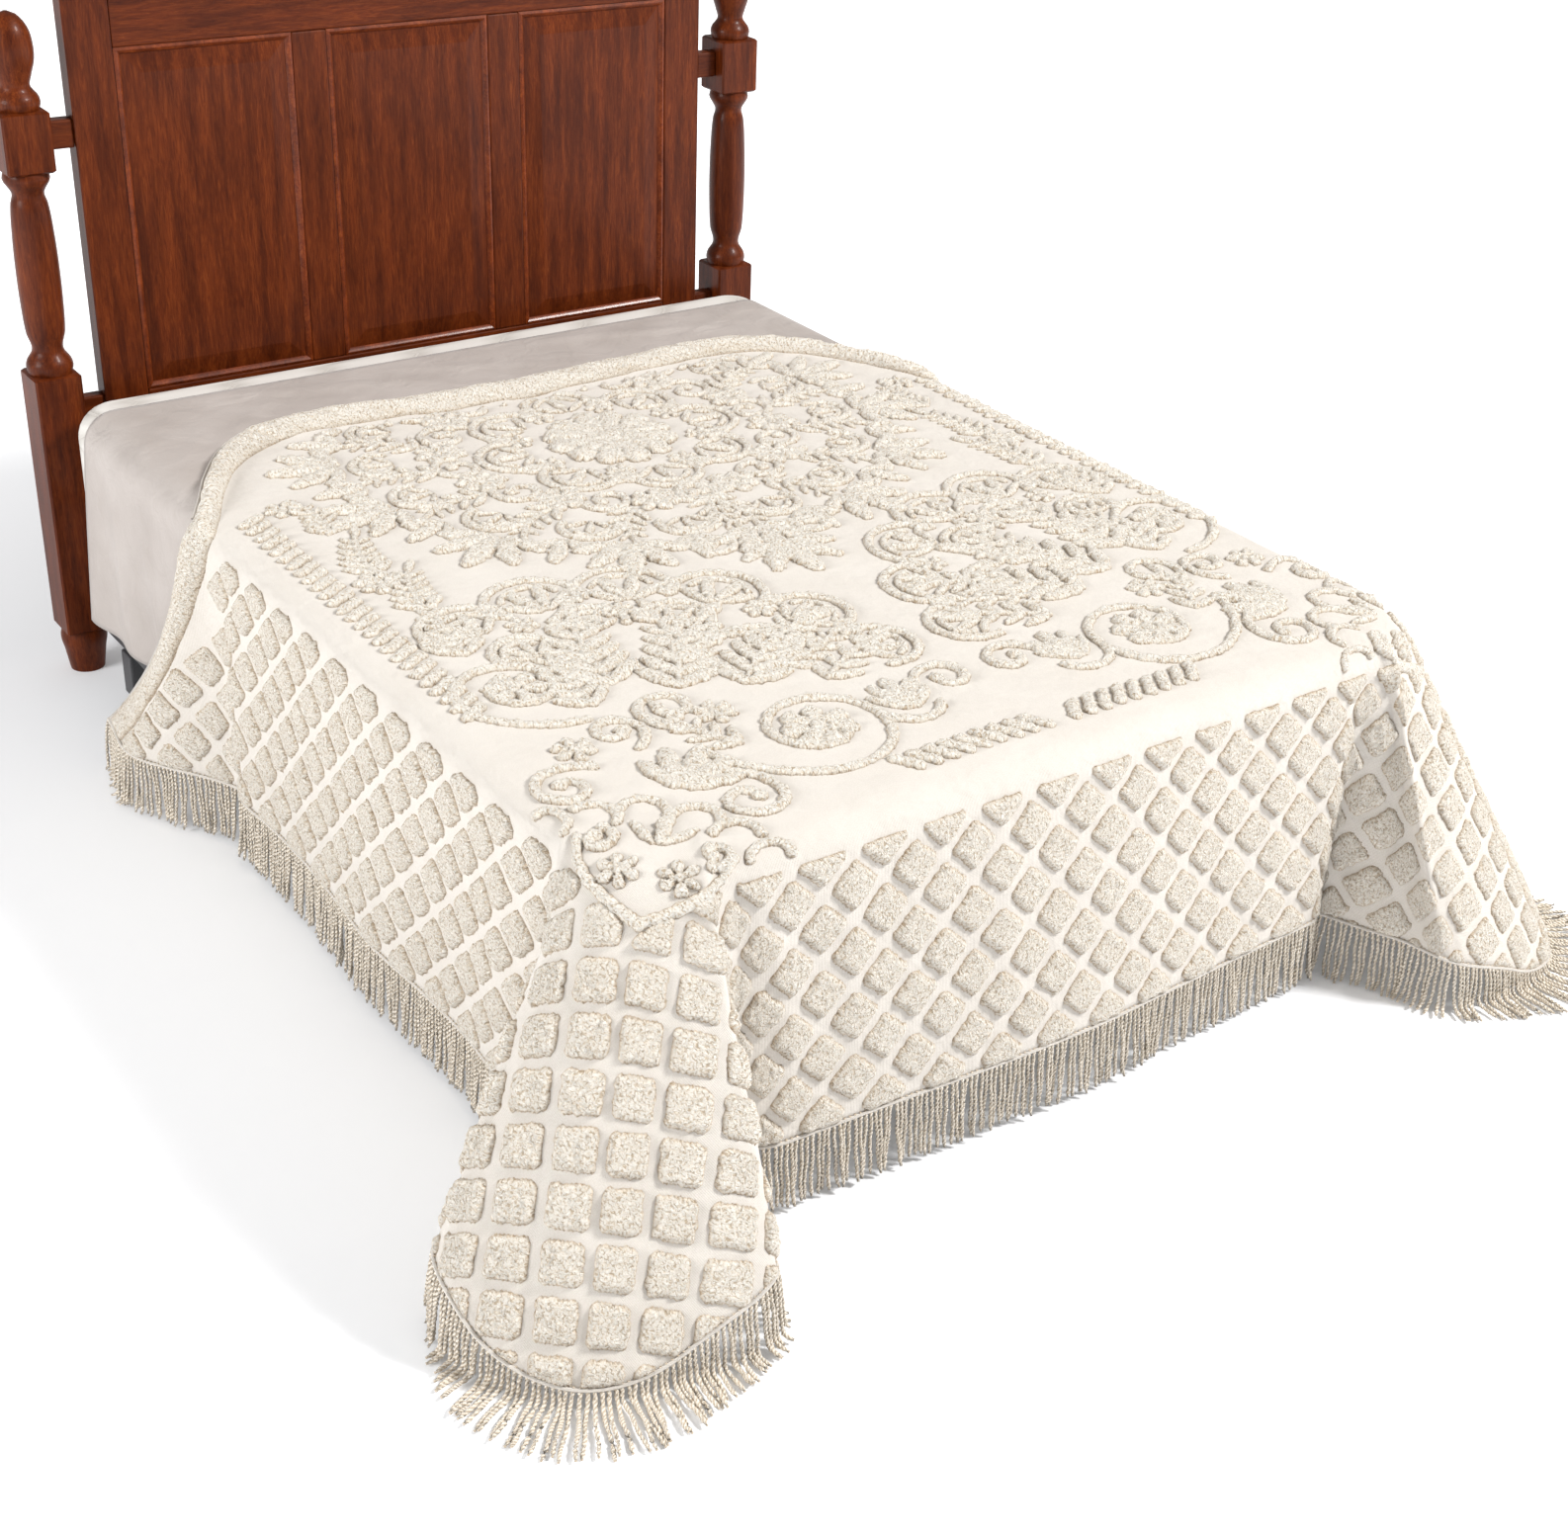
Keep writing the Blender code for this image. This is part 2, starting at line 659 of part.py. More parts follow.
def build_base(materials):
    base_top = MATTRESS_TOP - MATTRESS_THICKNESS
    add_cushion_block("mattress", 0.0, base_top, MATTRESS_TOP, MATTRESS_CORNER, MATTRESS_EDGE,
                      materials["ticking"])
    spring_top = base_top - GAP
    spring_bottom = spring_top - BOX_SPRING_THICKNESS
    add_cushion_block("box_spring", BOX_SPRING_INSET, spring_bottom, spring_top, 0.06, 0.012,
                      materials["ticking"])
    rail_top = spring_bottom - GAP
    rail_bottom = rail_top - RAIL_HEIGHT
    rail_outer = MATTRESS_WIDTH / 2 - RAIL_INSET
    rail_foot = RAIL_START
    rail_head = HEADBOARD_Y - POST_HALF - GAP
    for name, sign in (("left", -1), ("right", 1)):
        ends = sorted((sign * rail_outer, sign * (rail_outer - RAIL_WIDTH)))
        add_box(f"side_rail_{name}", (ends[0], rail_foot, rail_bottom), (ends[1], rail_head, rail_top),
                materials["steel"], 0.003)
    cross_half = rail_outer - RAIL_WIDTH - GAP
    for name, y in LEG_ROWS:
        add_box(f"cross_rail_{name}", (-cross_half, y - RAIL_WIDTH / 2, rail_bottom),
                (cross_half, y + RAIL_WIDTH / 2, rail_top), materials["steel"], 0.003)
        for side_name, sign in (("left", -1), ("right", 1)):
            x = sign * (rail_outer - RAIL_WIDTH / 2)
            add_box(f"leg_{name}_{side_name}", (x - LEG_SIZE / 2, y - LEG_SIZE / 2, 0.0),
                    (x + LEG_SIZE / 2, y + LEG_SIZE / 2, rail_bottom - GAP), materials["steel"], 0.004)


def build_post(name, x, material):
    bm = bmesh.new()
    loops = []
    for height, half, is_round in POST_PROFILE:
        loop = []
        for k in range(POST_SIDES):
            angle = 2 * math.pi * (k + 0.5) / POST_SIDES
            cosine, sine = math.cos(angle), math.sin(angle)
            reach = half if is_round else half / max(abs(cosine), abs(sine))
            loop.append(bm.verts.new((reach * cosine, reach * sine, height)))
        loops.append(loop)
    for low, high in zip(loops, loops[1:]):
        for k in range(POST_SIDES):
            after = (k + 1) % POST_SIDES
            bm.faces.new([low[k], low[after], high[after], high[k]])
    bm.faces.new(list(reversed(loops[0])))
    bm.faces.new(loops[-1])
    item = add_object(name, mesh_from_bmesh(name, bm), material)
    item.location = (x, HEADBOARD_Y, 0.0)
    item.data.shade_smooth()
    item.data.set_sharp_from_angle(angle=math.radians(35))
    return item


def build_panel(name, low, high, material):
    """One raised panel: a slab whose front face steps in along a sloped border to a flat field."""
    item = add_box(name, low, high, material)
    bm = bmesh.new()
    bm.from_mesh(item.data)
    bm.normal_update()
    front = min(bm.faces, key=lambda face: face.normal.y)
    bmesh.ops.inset_region(bm, faces=[front], thickness=PANEL_FIELD, depth=0.0, use_even_offset=True)
    bmesh.ops.translate(bm, vec=(0.0, -PANEL_RAISE, 0.0), verts=front.verts)
    bm.to_mesh(item.data)
    bm.free()
    return item


def build_headboard(material):
    frame_low = HEADBOARD_Y - FRAME_DEPTH / 2
    frame_high = HEADBOARD_Y + FRAME_DEPTH / 2
    for name, sign in (("left", -1), ("right", 1)):
        build_post(f"headboard_post_{name}", sign * POST_CENTRE, material)
        inner = sign * (FRAME_HALF - STILE_WIDTH)
        ends = sorted((sign * FRAME_HALF, inner))
        add_box(f"headboard_stile_{name}", (ends[0], frame_low, BOTTOM_RAIL[0] - 0.02),
                (ends[1], frame_high, TOP_RAIL[1]), material, 0.003)
        for place_name, (low, high) in zip(("lower", "upper"), LINK_RAILS):
            ends = sorted((sign * (FRAME_HALF + GAP), sign * (POST_CENTRE - POST_HALF - GAP)))
            add_box(f"headboard_link_{place_name}_{name}", (ends[0], HEADBOARD_Y - LINK_DEPTH / 2, low),
                    (ends[1], HEADBOARD_Y + LINK_DEPTH / 2, high), material, 0.003)
    inner_half = FRAME_HALF - STILE_WIDTH - GAP
    for name, (low, high) in (("bottom", BOTTOM_RAIL), ("top", TOP_RAIL)):
        add_box(f"headboard_{name}_rail", (-inner_half, frame_low, low), (inner_half, frame_high, high),
                material, 0.003)
    cap_low = TOP_RAIL[1] + GAP
    cap_half = FRAME_HALF + CAP_OVERHANG
    add_box("headboard_cap", (-cap_half, frame_low - CAP_OVERHANG, cap_low),
            (cap_half, frame_high + CAP_OVERHANG, cap_low + CAP_HEIGHT), material, 0.008, 3)
    bay = (2 * inner_half - (PANEL_COUNT - 1) * MUNTIN_WIDTH) / PANEL_COUNT
    bottom = BOTTOM_RAIL[1] + GAP
    top = TOP_RAIL[0] - GAP
    for k in range(PANEL_COUNT):
        left = -inner_half + k * (bay + MUNTIN_WIDTH)
        build_panel(f"headboard_panel_{k + 1}", (left + GAP, HEADBOARD_Y - PANEL_DEPTH / 2, bottom),
                    (left + bay - GAP, HEADBOARD_Y + PANEL_DEPTH / 2, top), material)
        if k < PANEL_COUNT - 1:
            add_box(f"headboard_muntin_{k + 1}", (left + bay, frame_low, bottom),
                    (left + bay + MUNTIN_WIDTH, frame_high, top), material, 0.003)


def centre_on_origin():
    """Moves the whole model so that its bounding box stands centred on the origin."""
    bpy.context.view_layer.update()
    graph = bpy.context.evaluated_depsgraph_get()
    low = np.full(3, np.inf)
    high = np.full(3, -np.inf)
    for item in bpy.context.scene.objects:
        solid = item.evaluated_get(graph)
        corners = np.array([item.matrix_world @ vertex.co for vertex in solid.data.vertices])
        low = np.minimum(low, corners.min(axis=0))
        high = np.maximum(high, corners.max(axis=0))
    middle = (low + high) / 2
    for item in bpy.context.scene.objects:
        item.location.x -= float(middle[0])
        item.location.y -= float(middle[1])


def main():
    clear_scene()
    materials = {
        "ivory": principled("ivory_chenille", IVORY, 0.95),
        "cord": principled("ivory_cord", CORD, 0.90),
        "white": principled("white_sheeting", WHITE, 0.85),
        "ticking": principled("mattress_ticking", TICKING, 0.90),
        "cherry": principled("cherry_wood", CHERRY, 0.35),
        "steel": principled("dark_steel", DARK_STEEL, 0.50, 0.8),
    }
    build_bedspread(materials["ivory"])
    build_fringe(materials["cord"])
    build_bed_sheet(materials["white"])
    build_base(materials)
    build_headboard(materials["cherry"])
    centre_on_origin()


main()
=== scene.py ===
"""Looks of a chenille bedspread on a plain bed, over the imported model. Metres, in the model's frame.

The spread is drawn from its flat cloth: u runs across the bed from its middle, v along it from the
mattress's foot. place() puts a point of the flat cloth on the bed, by the same rule as the solid. The
tufted pile, its lattice and its scrolls, leaves and rosettes are heights over the flat cloth, worked out
by formula.
"""

import math

import bmesh
import bpy
import numpy as np
from mathutils import Matrix, Vector


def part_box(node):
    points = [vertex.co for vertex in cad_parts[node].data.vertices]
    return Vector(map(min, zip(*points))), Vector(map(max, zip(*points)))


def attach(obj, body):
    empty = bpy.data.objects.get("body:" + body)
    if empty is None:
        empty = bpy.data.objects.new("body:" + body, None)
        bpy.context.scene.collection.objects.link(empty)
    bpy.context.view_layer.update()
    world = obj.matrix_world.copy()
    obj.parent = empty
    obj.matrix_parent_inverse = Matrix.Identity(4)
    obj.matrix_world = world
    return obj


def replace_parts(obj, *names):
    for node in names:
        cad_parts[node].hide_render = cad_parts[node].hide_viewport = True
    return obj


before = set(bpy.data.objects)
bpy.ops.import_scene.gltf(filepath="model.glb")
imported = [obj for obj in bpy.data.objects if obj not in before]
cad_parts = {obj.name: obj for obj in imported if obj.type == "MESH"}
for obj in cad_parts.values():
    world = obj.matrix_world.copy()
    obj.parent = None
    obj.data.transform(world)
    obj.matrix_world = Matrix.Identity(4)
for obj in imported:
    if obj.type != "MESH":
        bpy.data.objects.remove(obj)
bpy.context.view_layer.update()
RNG = np.random.default_rng(7)
TURN = 2 * math.pi
WHITE = (1.0, 1.0, 1.0)

MATTRESS_LOW, MATTRESS_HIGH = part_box("mattress")
BED_MIDDLE = (MATTRESS_LOW[0] + MATTRESS_HIGH[0]) / 2
BED_FOOT = MATTRESS_LOW[1]
MATTRESS_TOP = MATTRESS_HIGH[2]

# The drape, as in the solids
MATTRESS_WIDTH = 1.524
CLOTH_THICKNESS = 0.006
CLOTH_CLEARANCE = 0.008
SHEET_THICKNESS = 0.002
GAP = 0.0003
HALF_WIDTH = MATTRESS_WIDTH / 2 + CLOTH_CLEARANCE + CLOTH_THICKNESS / 2
FOOT_LINE = -(CLOTH_CLEARANCE + CLOTH_THICKNESS / 2)
TOP_LINE = MATTRESS_TOP + SHEET_THICKNESS + 2 * GAP + CLOTH_THICKNESS / 2
DROP = 0.470
CORNER_INSET = 0.200
PIVOT_U = HALF_WIDTH - CORNER_INSET
PIVOT_V = FOOT_LINE + CORNER_INSET
BEND = 0.074
HEM_CORNER_RADIUS = 0.200
FLOOR_CLEARANCE = CLOTH_THICKNESS / 2 + 0.0015

# Head end: the hem is drawn down at both sides, with a rolled ridge along it
HEAD_AT_EDGE = 1.400
HEAD_HEM = (
    # share of the half width, v of the hem
    (0.0, 1.7), (0.35, 1.715), (0.55, 1.725), (0.72, 1.69), (0.81, 1.625), (0.89, 1.53), (0.96, 1.432),
    (1.0, HEAD_AT_EDGE), (1.04, HEAD_AT_EDGE),
)
RIDGE_HEIGHT = 0.018
RIDGE_WIDTH = 0.095
FAN_START = 1.290
FAN_OPENING = 0.290
FAN_CURVE = 2.2

# Plan of the hem, in metres out from the edge line of the bed. Side rows run from the corner to the head.
LEFT_SIDE_HEM = (
    # v, out, shift towards the head
    (0.3, 0.016, 0.0), (0.42, 0.007, 0.0), (0.55, 0.01, 0.0), (0.7, 0.02, 0.0), (0.85, 0.011, 0.0),
    (1.0, 0.005, 0.0), (1.12, 0.007, 0.0), (1.22, 0.014, 0.0), (1.29, 0.006, -0.005), (1.33, 0.06, 0.07),
    (1.365, 0.098, 0.15), (1.4, 0.094, 0.255),
)
RIGHT_SIDE_HEM = (
    (0.3, 0.02, 0.0), (0.46, 0.034, 0.0), (0.6, 0.052, 0.0), (0.76, 0.04, 0.0), (0.9, 0.014, 0.0),
    (1.04, 0.022, 0.0), (1.16, 0.048, 0.0), (1.24, 0.03, 0.0), (1.29, 0.01, -0.005), (1.33, 0.052, 0.07),
    (1.365, 0.086, 0.15), (1.4, 0.084, 0.255),
)
# Corner rows run from the side (0 degrees) to the foot (90 degrees): two ridges with a broad face between.
LEFT_CORNER_HEM = (
    # angle, out to the side, out to the foot
    (9.0, 0.024, -0.135), (17.0, 0.125, -0.082), (26.0, 0.255, -0.04), (34.0, 0.268, 0.055),
    (45.0, 0.185, 0.2), (55.0, 0.04, 0.238), (64.0, -0.098, 0.232), (73.0, -0.112, 0.112),
    (82.0, -0.16, 0.022),
)
RIGHT_CORNER_HEM = (
    (8.0, 0.022, -0.14), (17.0, 0.11, -0.09), (27.0, 0.232, -0.03), (36.0, 0.238, 0.085),
    (46.0, 0.15, 0.215), (55.0, 0.03, 0.236), (63.0, -0.092, 0.21), (73.0, -0.145, 0.12),
    (82.0, -0.205, 0.016),
)
FOOT_HEM = (
    # share of the width from left to right, out
    (0.16, 0.03), (0.28, 0.04), (0.4, 0.052), (0.52, 0.056), (0.64, 0.044), (0.76, 0.032), (0.84, 0.026),
)
ANGLE_PITCH = 0.5
FOOT_STATION = math.pi / 2 * ANGLE_PITCH

# Pattern of the flat cloth: squares, tufted lines, and the roll at the head
PITCH = 0.10225
BAND_U = 8 * PITCH
BAND_V = FOOT_LINE - 0.045
BAND_EASE_SIDE = 0.020
BAND_EASE_FOOT = 0.007
SQUARE_HALF = 0.0288
SQUARE_ROUND = 0.0100
SQUARE_SHOULDER = 0.0095
SQUARE_UNDER_ROLL = 0.035
SQUARE_WOBBLE = 0.0019
CORNER_SHIFT = 0.034
PILE_HEIGHT = 0.0092
LINE_HEIGHT = 0.0084
LINE_RADIUS = 0.0086
LINE_WOBBLE = 0.22
LINE_MARGIN = 0.006
PATTERN_AXIS = 0.02
ROLL_HEIGHT = 0.0095
ROLL_HALF = RIDGE_WIDTH * 0.44
ROLL_MARGIN = 0.004
SCROLL_ROLL_MARGIN = 0.012
ROLL_OVERLAP = 0.003
HEM_MARGIN = 0.003
PILE_SINK = 0.0006
DEEPEST = -0.0018
FULL_RISE = 0.0070
LATTICE_AREA = ((-1.250, -0.500), (1.250, 1.700))
LATTICE_SPACING = 0.0038
MOTIF_AREA = ((-0.900, -0.130), (0.900, 1.740))
MOTIF_SPACING = 0.0030
NUBS = ((0.0018, 0.0060, 11), (0.0008, 0.015, 12))
NOISE_CELLS = 64

# Creases of the flat cloth, the same on both halves: from (u, v) to (u, v), height and half width
CREASES = (
    (0.735, 0.18, 1.2, -0.155, 0.011, 0.011), (0.6, 0.07, 0.87, -0.45, 0.012, 0.011),
    (0.76, 0.13, 1.08, -0.19, -0.003, 0.02), (0.66, 0.05, 0.86, -0.33, -0.003, 0.02),
    (0.69, 0.11, 0.56, 0.26, 0.0022, 0.014), (0.64, 0.04, 0.43, 0.11, 0.002, 0.012),
    (0.735, 0.2, 0.69, 0.42, 0.002, 0.012), (0.56, -0.06, 0.5, -0.4, 0.004, 0.026),
    (0.42, -0.09, 0.39, -0.42, 0.003, 0.03), (0.15, -0.1, 0.13, -0.43, 0.003, 0.034),
    (0.86, 0.3, 1.2, 0.33, 0.004, 0.028), (0.87, 0.62, 1.19, 0.65, 0.003, 0.034),
    (0.87, 0.94, 1.19, 0.96, 0.003, 0.03), (0.86, 1.18, 1.18, 1.26, 0.004, 0.024),
)

# Cloth under the pile
BASE_SPACING = 0.0120
BASE_THICKNESS = 0.002
BASE_OFFSET = -0.0018
BASE_PUCKERS = ((0.0007, 0.05, 51), (0.0004, 0.022, 52))
CORNER_RAYS = 97
NORMAL_STEP = 0.004

# Fringe and the rolled hem over its heading
CORD_PITCH = 0.0088
CORD_LENGTH = 0.115
CORD_STEP = 0.0078
CORD_WIDE = 0.0037
CORD_NARROW = 0.0030
CORD_TIP = 0.62
CORD_SIDES = 6
CORD_TWIST = math.radians(75)
CORD_PLY = 0.0046
CORD_FACE = CORD_PLY * 3 / CORD_SIDES
CORD_WAVE = TURN / (10 * CORD_PLY)
CORD_APART = 0.1
CORD_UNDER_HEM = 0.004
CORD_LEAN = 0.06
LEAN_SPREAD = 0.035
SWAY_SPREAD = 0.05
CORD_STIFFNESS = 0.70
CORD_RIPPLE = 0.0007
CLUMP_CHANCE = 0.36
CLUMP_REACH = 1.6
FLOOR_EASE = 0.016
FLOOR_SKIN = 0.0006
HEM_ROLL = 0.0028
HEM_SIDES = 8
HEM_GIRTH = 0.02
HEM_SLOPE = 0.012
HEM_POINTS = 260
HEM_CORNER_POINTS = 220
HEM_FOOT_POINTS = 120


# -------- the drape

def smooth_through(stations, values, at):
    """Cubic curve through a table's rows, read at any stations."""
    stations = np.asarray(stations, float)
    values = np.asarray(values, float)
    slopes = np.gradient(values, stations)
    at = np.clip(at, stations[0], stations[-1])
    row = np.clip(np.searchsorted(stations, at) - 1, 0, len(stations) - 2)
    step = stations[row + 1] - stations[row]
    t = (at - stations[row]) / step
    start = (1 + 2 * t) * (1 - t) ** 2 * values[row] + t * (1 - t) ** 2 * step * slopes[row]
    end = t * t * (3 - 2 * t) * values[row + 1] + t * t * (t - 1) * step * slopes[row + 1]
    return start + end


def hem_table(side_rows, corner_rows, mirrored):
    """Rows (station, x, y) of the hem's plan, from the head round the corner to past the foot's middle."""
    rows = [(PIVOT_V - v, HALF_WIDTH + out, v + shift) for v, out, shift in reversed(side_rows)]
    for angle, side_out, foot_out in corner_rows:
        rows.append((math.radians(angle) * ANGLE_PITCH, HALF_WIDTH + side_out, FOOT_LINE - foot_out))
    foot_rows = []
    for share, out in FOOT_HEM:
        along = (1 - share if mirrored else share) * 2 * HALF_WIDTH
        foot_rows.append((FOOT_STATION + along - CORNER_INSET, HALF_WIDTH - along, FOOT_LINE - out))
    return np.array(rows + sorted(foot_rows))


HEM_TABLES = {
    -1: hem_table(LEFT_SIDE_HEM, LEFT_CORNER_HEM, False),
    1: hem_table(RIGHT_SIDE_HEM, RIGHT_CORNER_HEM, True),
}


def clamp(values):
    return np.clip(values, 0.0, 1.0)


def head_hem(u):
    """v of the head hem over the top of the bed, and at the bed's edge from there on."""
    shares, ends = zip(*HEAD_HEM)
    return smooth_through(shares, ends, np.minimum(np.abs(u), HALF_WIDTH) / HALF_WIDTH)


def from_pivot(u, v):
    """How far flat points lie beyond their corner's pivot to the side and the foot, and the angle there."""
    beyond_side = np.maximum(np.abs(u) - PIVOT_U, 0.0)
    beyond_foot = np.maximum(PIVOT_V - v, 0.0)
    return beyond_side, beyond_foot, np.arctan2(beyond_foot, beyond_side)


def reach_to_hem(angle):
    """Flat distance from a corner's pivot to the round-cut hem, by angle from the side."""
    along = np.cos(angle)
    across = np.sin(angle)
    full = CORNER_INSET + DROP
    straight = full / np.maximum(along, across)
    centre = full - HEM_CORNER_RADIUS
    middle = centre * (along + across)
    arc_reach = middle + np.sqrt(np.maximum(middle ** 2 - 2 * centre ** 2 + HEM_CORNER_RADIUS ** 2, 0.0))
    on_arc = np.minimum(along, across) * straight > centre
    return np.where(on_arc, arc_reach, straight)


def fan_share(beyond):
    """How much of the fan's opening a ray has reached at a flat distance beyond the pivot."""
    return clamp((beyond - CORNER_INSET) / DROP) ** FAN_CURVE


def fan_shift(v, share=1.0):
    """How far towards the head the fan carries a ray that starts at v."""
    return share * FAN_OPENING * np.maximum(v - FAN_START, 0) / (HEAD_AT_EDGE - FAN_START)


def place(u, v):
    """Where points of the flat spread lie on the bed, before the bed is moved to its place."""
    u, v = np.broadcast_arrays(np.asarray(u, float), np.asarray(v, float))
    side = np.where(u < 0, -1.0, 1.0)
    beyond_side, beyond_foot, angle = from_pivot(u, v)
    on_side = beyond_foot == 0
    reach = np.hypot(beyond_side, beyond_foot)
    safe = np.maximum(reach, 1e-9)
    out_x = side * beyond_side / safe
    out_y = -beyond_foot / safe

    # Along the sides the head end opens like a fan below the bed's edge
    spread = FAN_OPENING / (HEAD_AT_EDGE - FAN_START) * fan_share(beyond_side)
    fanned = (v + spread * FAN_START) / (1 + spread)
    v_ray = np.where((v > FAN_START) & on_side, fanned, v)
    base_x = u - side * beyond_side
    base_y = np.where(on_side, v_ray, v + beyond_foot)

    # Each ray runs from the flat top to its own place on the hem's plan
    station = np.where(on_side, PIVOT_V - v_ray, angle * ANGLE_PITCH)
    station = np.where((beyond_side == 0) & (beyond_foot > 0), FOOT_STATION + PIVOT_U - np.abs(u), station)
    hem_x = np.zeros_like(u)
    hem_y = np.zeros_like(u)
    for sign, table in HEM_TABLES.items():
        chosen = side == sign
        hem_x[chosen] = sign * smooth_through(table[:, 0], table[:, 1], station[chosen])
        hem_y[chosen] = smooth_through(table[:, 0], table[:, 2], station[chosen])
    run_x = hem_x - base_x - CORNER_INSET * out_x
    run_y = hem_y - base_y - CORNER_INSET * out_y
    run = np.maximum(np.hypot(run_x, run_y), 1e-6)
    straight = np.where(on_side, np.hypot(DROP, fan_shift(v_ray)), reach_to_hem(angle) - CORNER_INSET)
    needed = np.sqrt(np.maximum(straight ** 2 - (TOP_LINE - FLOOR_CLEARANCE) ** 2, 0.0))
    stretch = np.maximum(1.0, needed / run)
    fall_z = np.sqrt(np.maximum(straight ** 2 - (run * stretch) ** 2, 1e-6))

    # From flat to hanging over the rounded edge
    turn = clamp((reach - (CORNER_INSET - BEND)) / (2 * BEND))
    hang = 2 * BEND * (turn ** 3 - turn ** 4 / 2) + np.maximum(reach - CORNER_INSET - BEND, 0.0)
    flat = reach - hang
    share = hang * np.where(on_side, straight / DROP, 1.0) / straight
    curve = np.where(on_side & (v_ray > FAN_START / 2), FAN_CURVE, 1.0)
    x = base_x + flat * out_x + run_x * stretch * share
    y = base_y + flat * out_y + run_y * stretch * share ** curve
    z = TOP_LINE - fall_z * share

    # The rolled ridge along the head hem
    turned = turn ** 2 * (3 - 2 * turn)
    back = (head_hem(u) - np.where(beyond_side > 0, v_ray, v)) / RIDGE_WIDTH
    ridge = RIDGE_HEIGHT * np.sin(math.pi * clamp(back)) ** 2
    lift = np.where(on_side, ridge, 0.0)
    return np.stack([x + lift * turned * out_x, y, z + lift * (1 - turned)], axis=-1)


def on_bed(u, v):
    """place() moved to where the bed stands."""
    return place(u, v) + np.array([BED_MIDDLE, BED_FOOT, 0.0])


def unit(vectors):
    return vectors / np.maximum(np.linalg.norm(vectors, axis=-1, keepdims=True), 1e-12)


def facing(u, v):
    """Unit normals of the draped cloth, pointing away from the bed."""
    across = place(u + NORMAL_STEP, v) - place(u - NORMAL_STEP, v)
    along = place(u, v + NORMAL_STEP) - place(u, v - NORMAL_STEP)
    return unit(np.cross(across, along))


# -------- small tools

def add_object(name, data):
    item = bpy.data.objects.new(name, data)
    bpy.context.scene.collection.objects.link(item)
    return item


def add_piece(name, mesh, material):
    item = add_object(name, mesh)
    mesh.materials.append(material)
    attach(item, "root")
    return item


def set_flat(mesh, flat):
    """Flat coordinates of every face corner, as the UV map that the materials read."""
    layer = mesh.uv_layers.new(name="flat")
    layer.data.foreach_set("uv", flat.astype(np.float32).ravel())
    mesh.shade_smooth()


def quad_piece(name, points, quads, flat, material):
    """A smooth piece from arrays of points and quads, with flat coordinates by point or by face corner."""
    mesh = bpy.data.meshes.new(name)
    mesh.vertices.add(len(points))
    mesh.vertices.foreach_set("co", np.asarray(points, np.float32).ravel())
    mesh.loops.add(quads.size)
    mesh.loops.foreach_set("vertex_index", quads.astype(np.int32).ravel())
    mesh.polygons.add(len(quads))
    mesh.polygons.foreach_set("loop_start", np.arange(0, quads.size, 4, dtype=np.int32))
    mesh.update(calc_edges=True)
    set_flat(mesh, flat if flat.ndim == 3 else flat[quads])
    return add_piece(name, mesh, material)


def grid_quads(numbers):
    """Quads of a grid of numbered points."""
    corners = [numbers[:-1, :-1], numbers[1:, :-1], numbers[1:, 1:], numbers[:-1, 1:]]
    return np.stack(corners, axis=-1).reshape(-1, 4)


def ring_quads(numbers):
    """Quads between neighbouring closed rings of numbered points."""
    after = np.roll(numbers, -1, axis=-1)
    return np.stack([numbers[:-1], after[:-1], after[1:], numbers[1:]], axis=-1).reshape(-1, 4)


def thicken(piece, thickness):
    skins = piece.modifiers.new("Cloth thickness", "SOLIDIFY")
    skins.thickness = thickness
    skins.offset = 0.0


def run_along(points):
    """Distance of each point of a line from its first one."""
    return np.concatenate([[0.0], np.cumsum(np.linalg.norm(np.diff(points, axis=0), axis=1))])


def crease_heights(x, y, creases, end, power):
    """Height of creases over flat points: highest at mid length, gone soon after their ends."""
    lift = np.zeros_like(x)
    for x0, y0, x1, y1, height, width in creases:
        dx, dy = x1 - x0, y1 - y0
        t = clamp(((x - x0) * dx + (y - y0) * dy) / (dx * dx + dy * dy))
        off = np.hypot(x - x0 - t * dx, y - y0 - t * dy)
        lift += height * np.exp(-(off / width) ** 2) * np.sin(math.pi * np.clip(t, end, 1 - end)) ** power
    return lift


def crease_lift(u, v):
    """Height of the creases pressed or pulled into the spread, along its normal."""
    return crease_heights(np.abs(u), v, CREASES, 0.03, 0.4)


def value_noise(u, v, size, seed):
    """Smooth noise from -1 to 1 whose lumps are about size metres across."""
    table = np.random.default_rng(seed).uniform(-1.0, 1.0, (NOISE_CELLS, NOISE_CELLS))
    x = np.asarray(u) / size + 1000.0
    y = np.asarray(v) / size + 1000.0
    i = np.floor(x).astype(int)
    j = np.floor(y).astype(int)
    s = x - i
    t = y - j
    s = s * s * (3 - 2 * s)
    t = t * t * (3 - 2 * t)
    i, after_i = i % NOISE_CELLS, (i + 1) % NOISE_CELLS
    j, after_j = j % NOISE_CELLS, (j + 1) % NOISE_CELLS
    near = table[i, j] * (1 - s) + table[after_i, j] * s
    far = table[i, after_j] * (1 - s) + table[after_i, after_j] * s
    return near * (1 - t) + far * t


def noise_layers(u, v, rows):
    """Noises added up, from (height, size, seed) rows."""
    return sum(height * value_noise(u, v, size, seed) for height, size, seed in rows)


# -------- materials

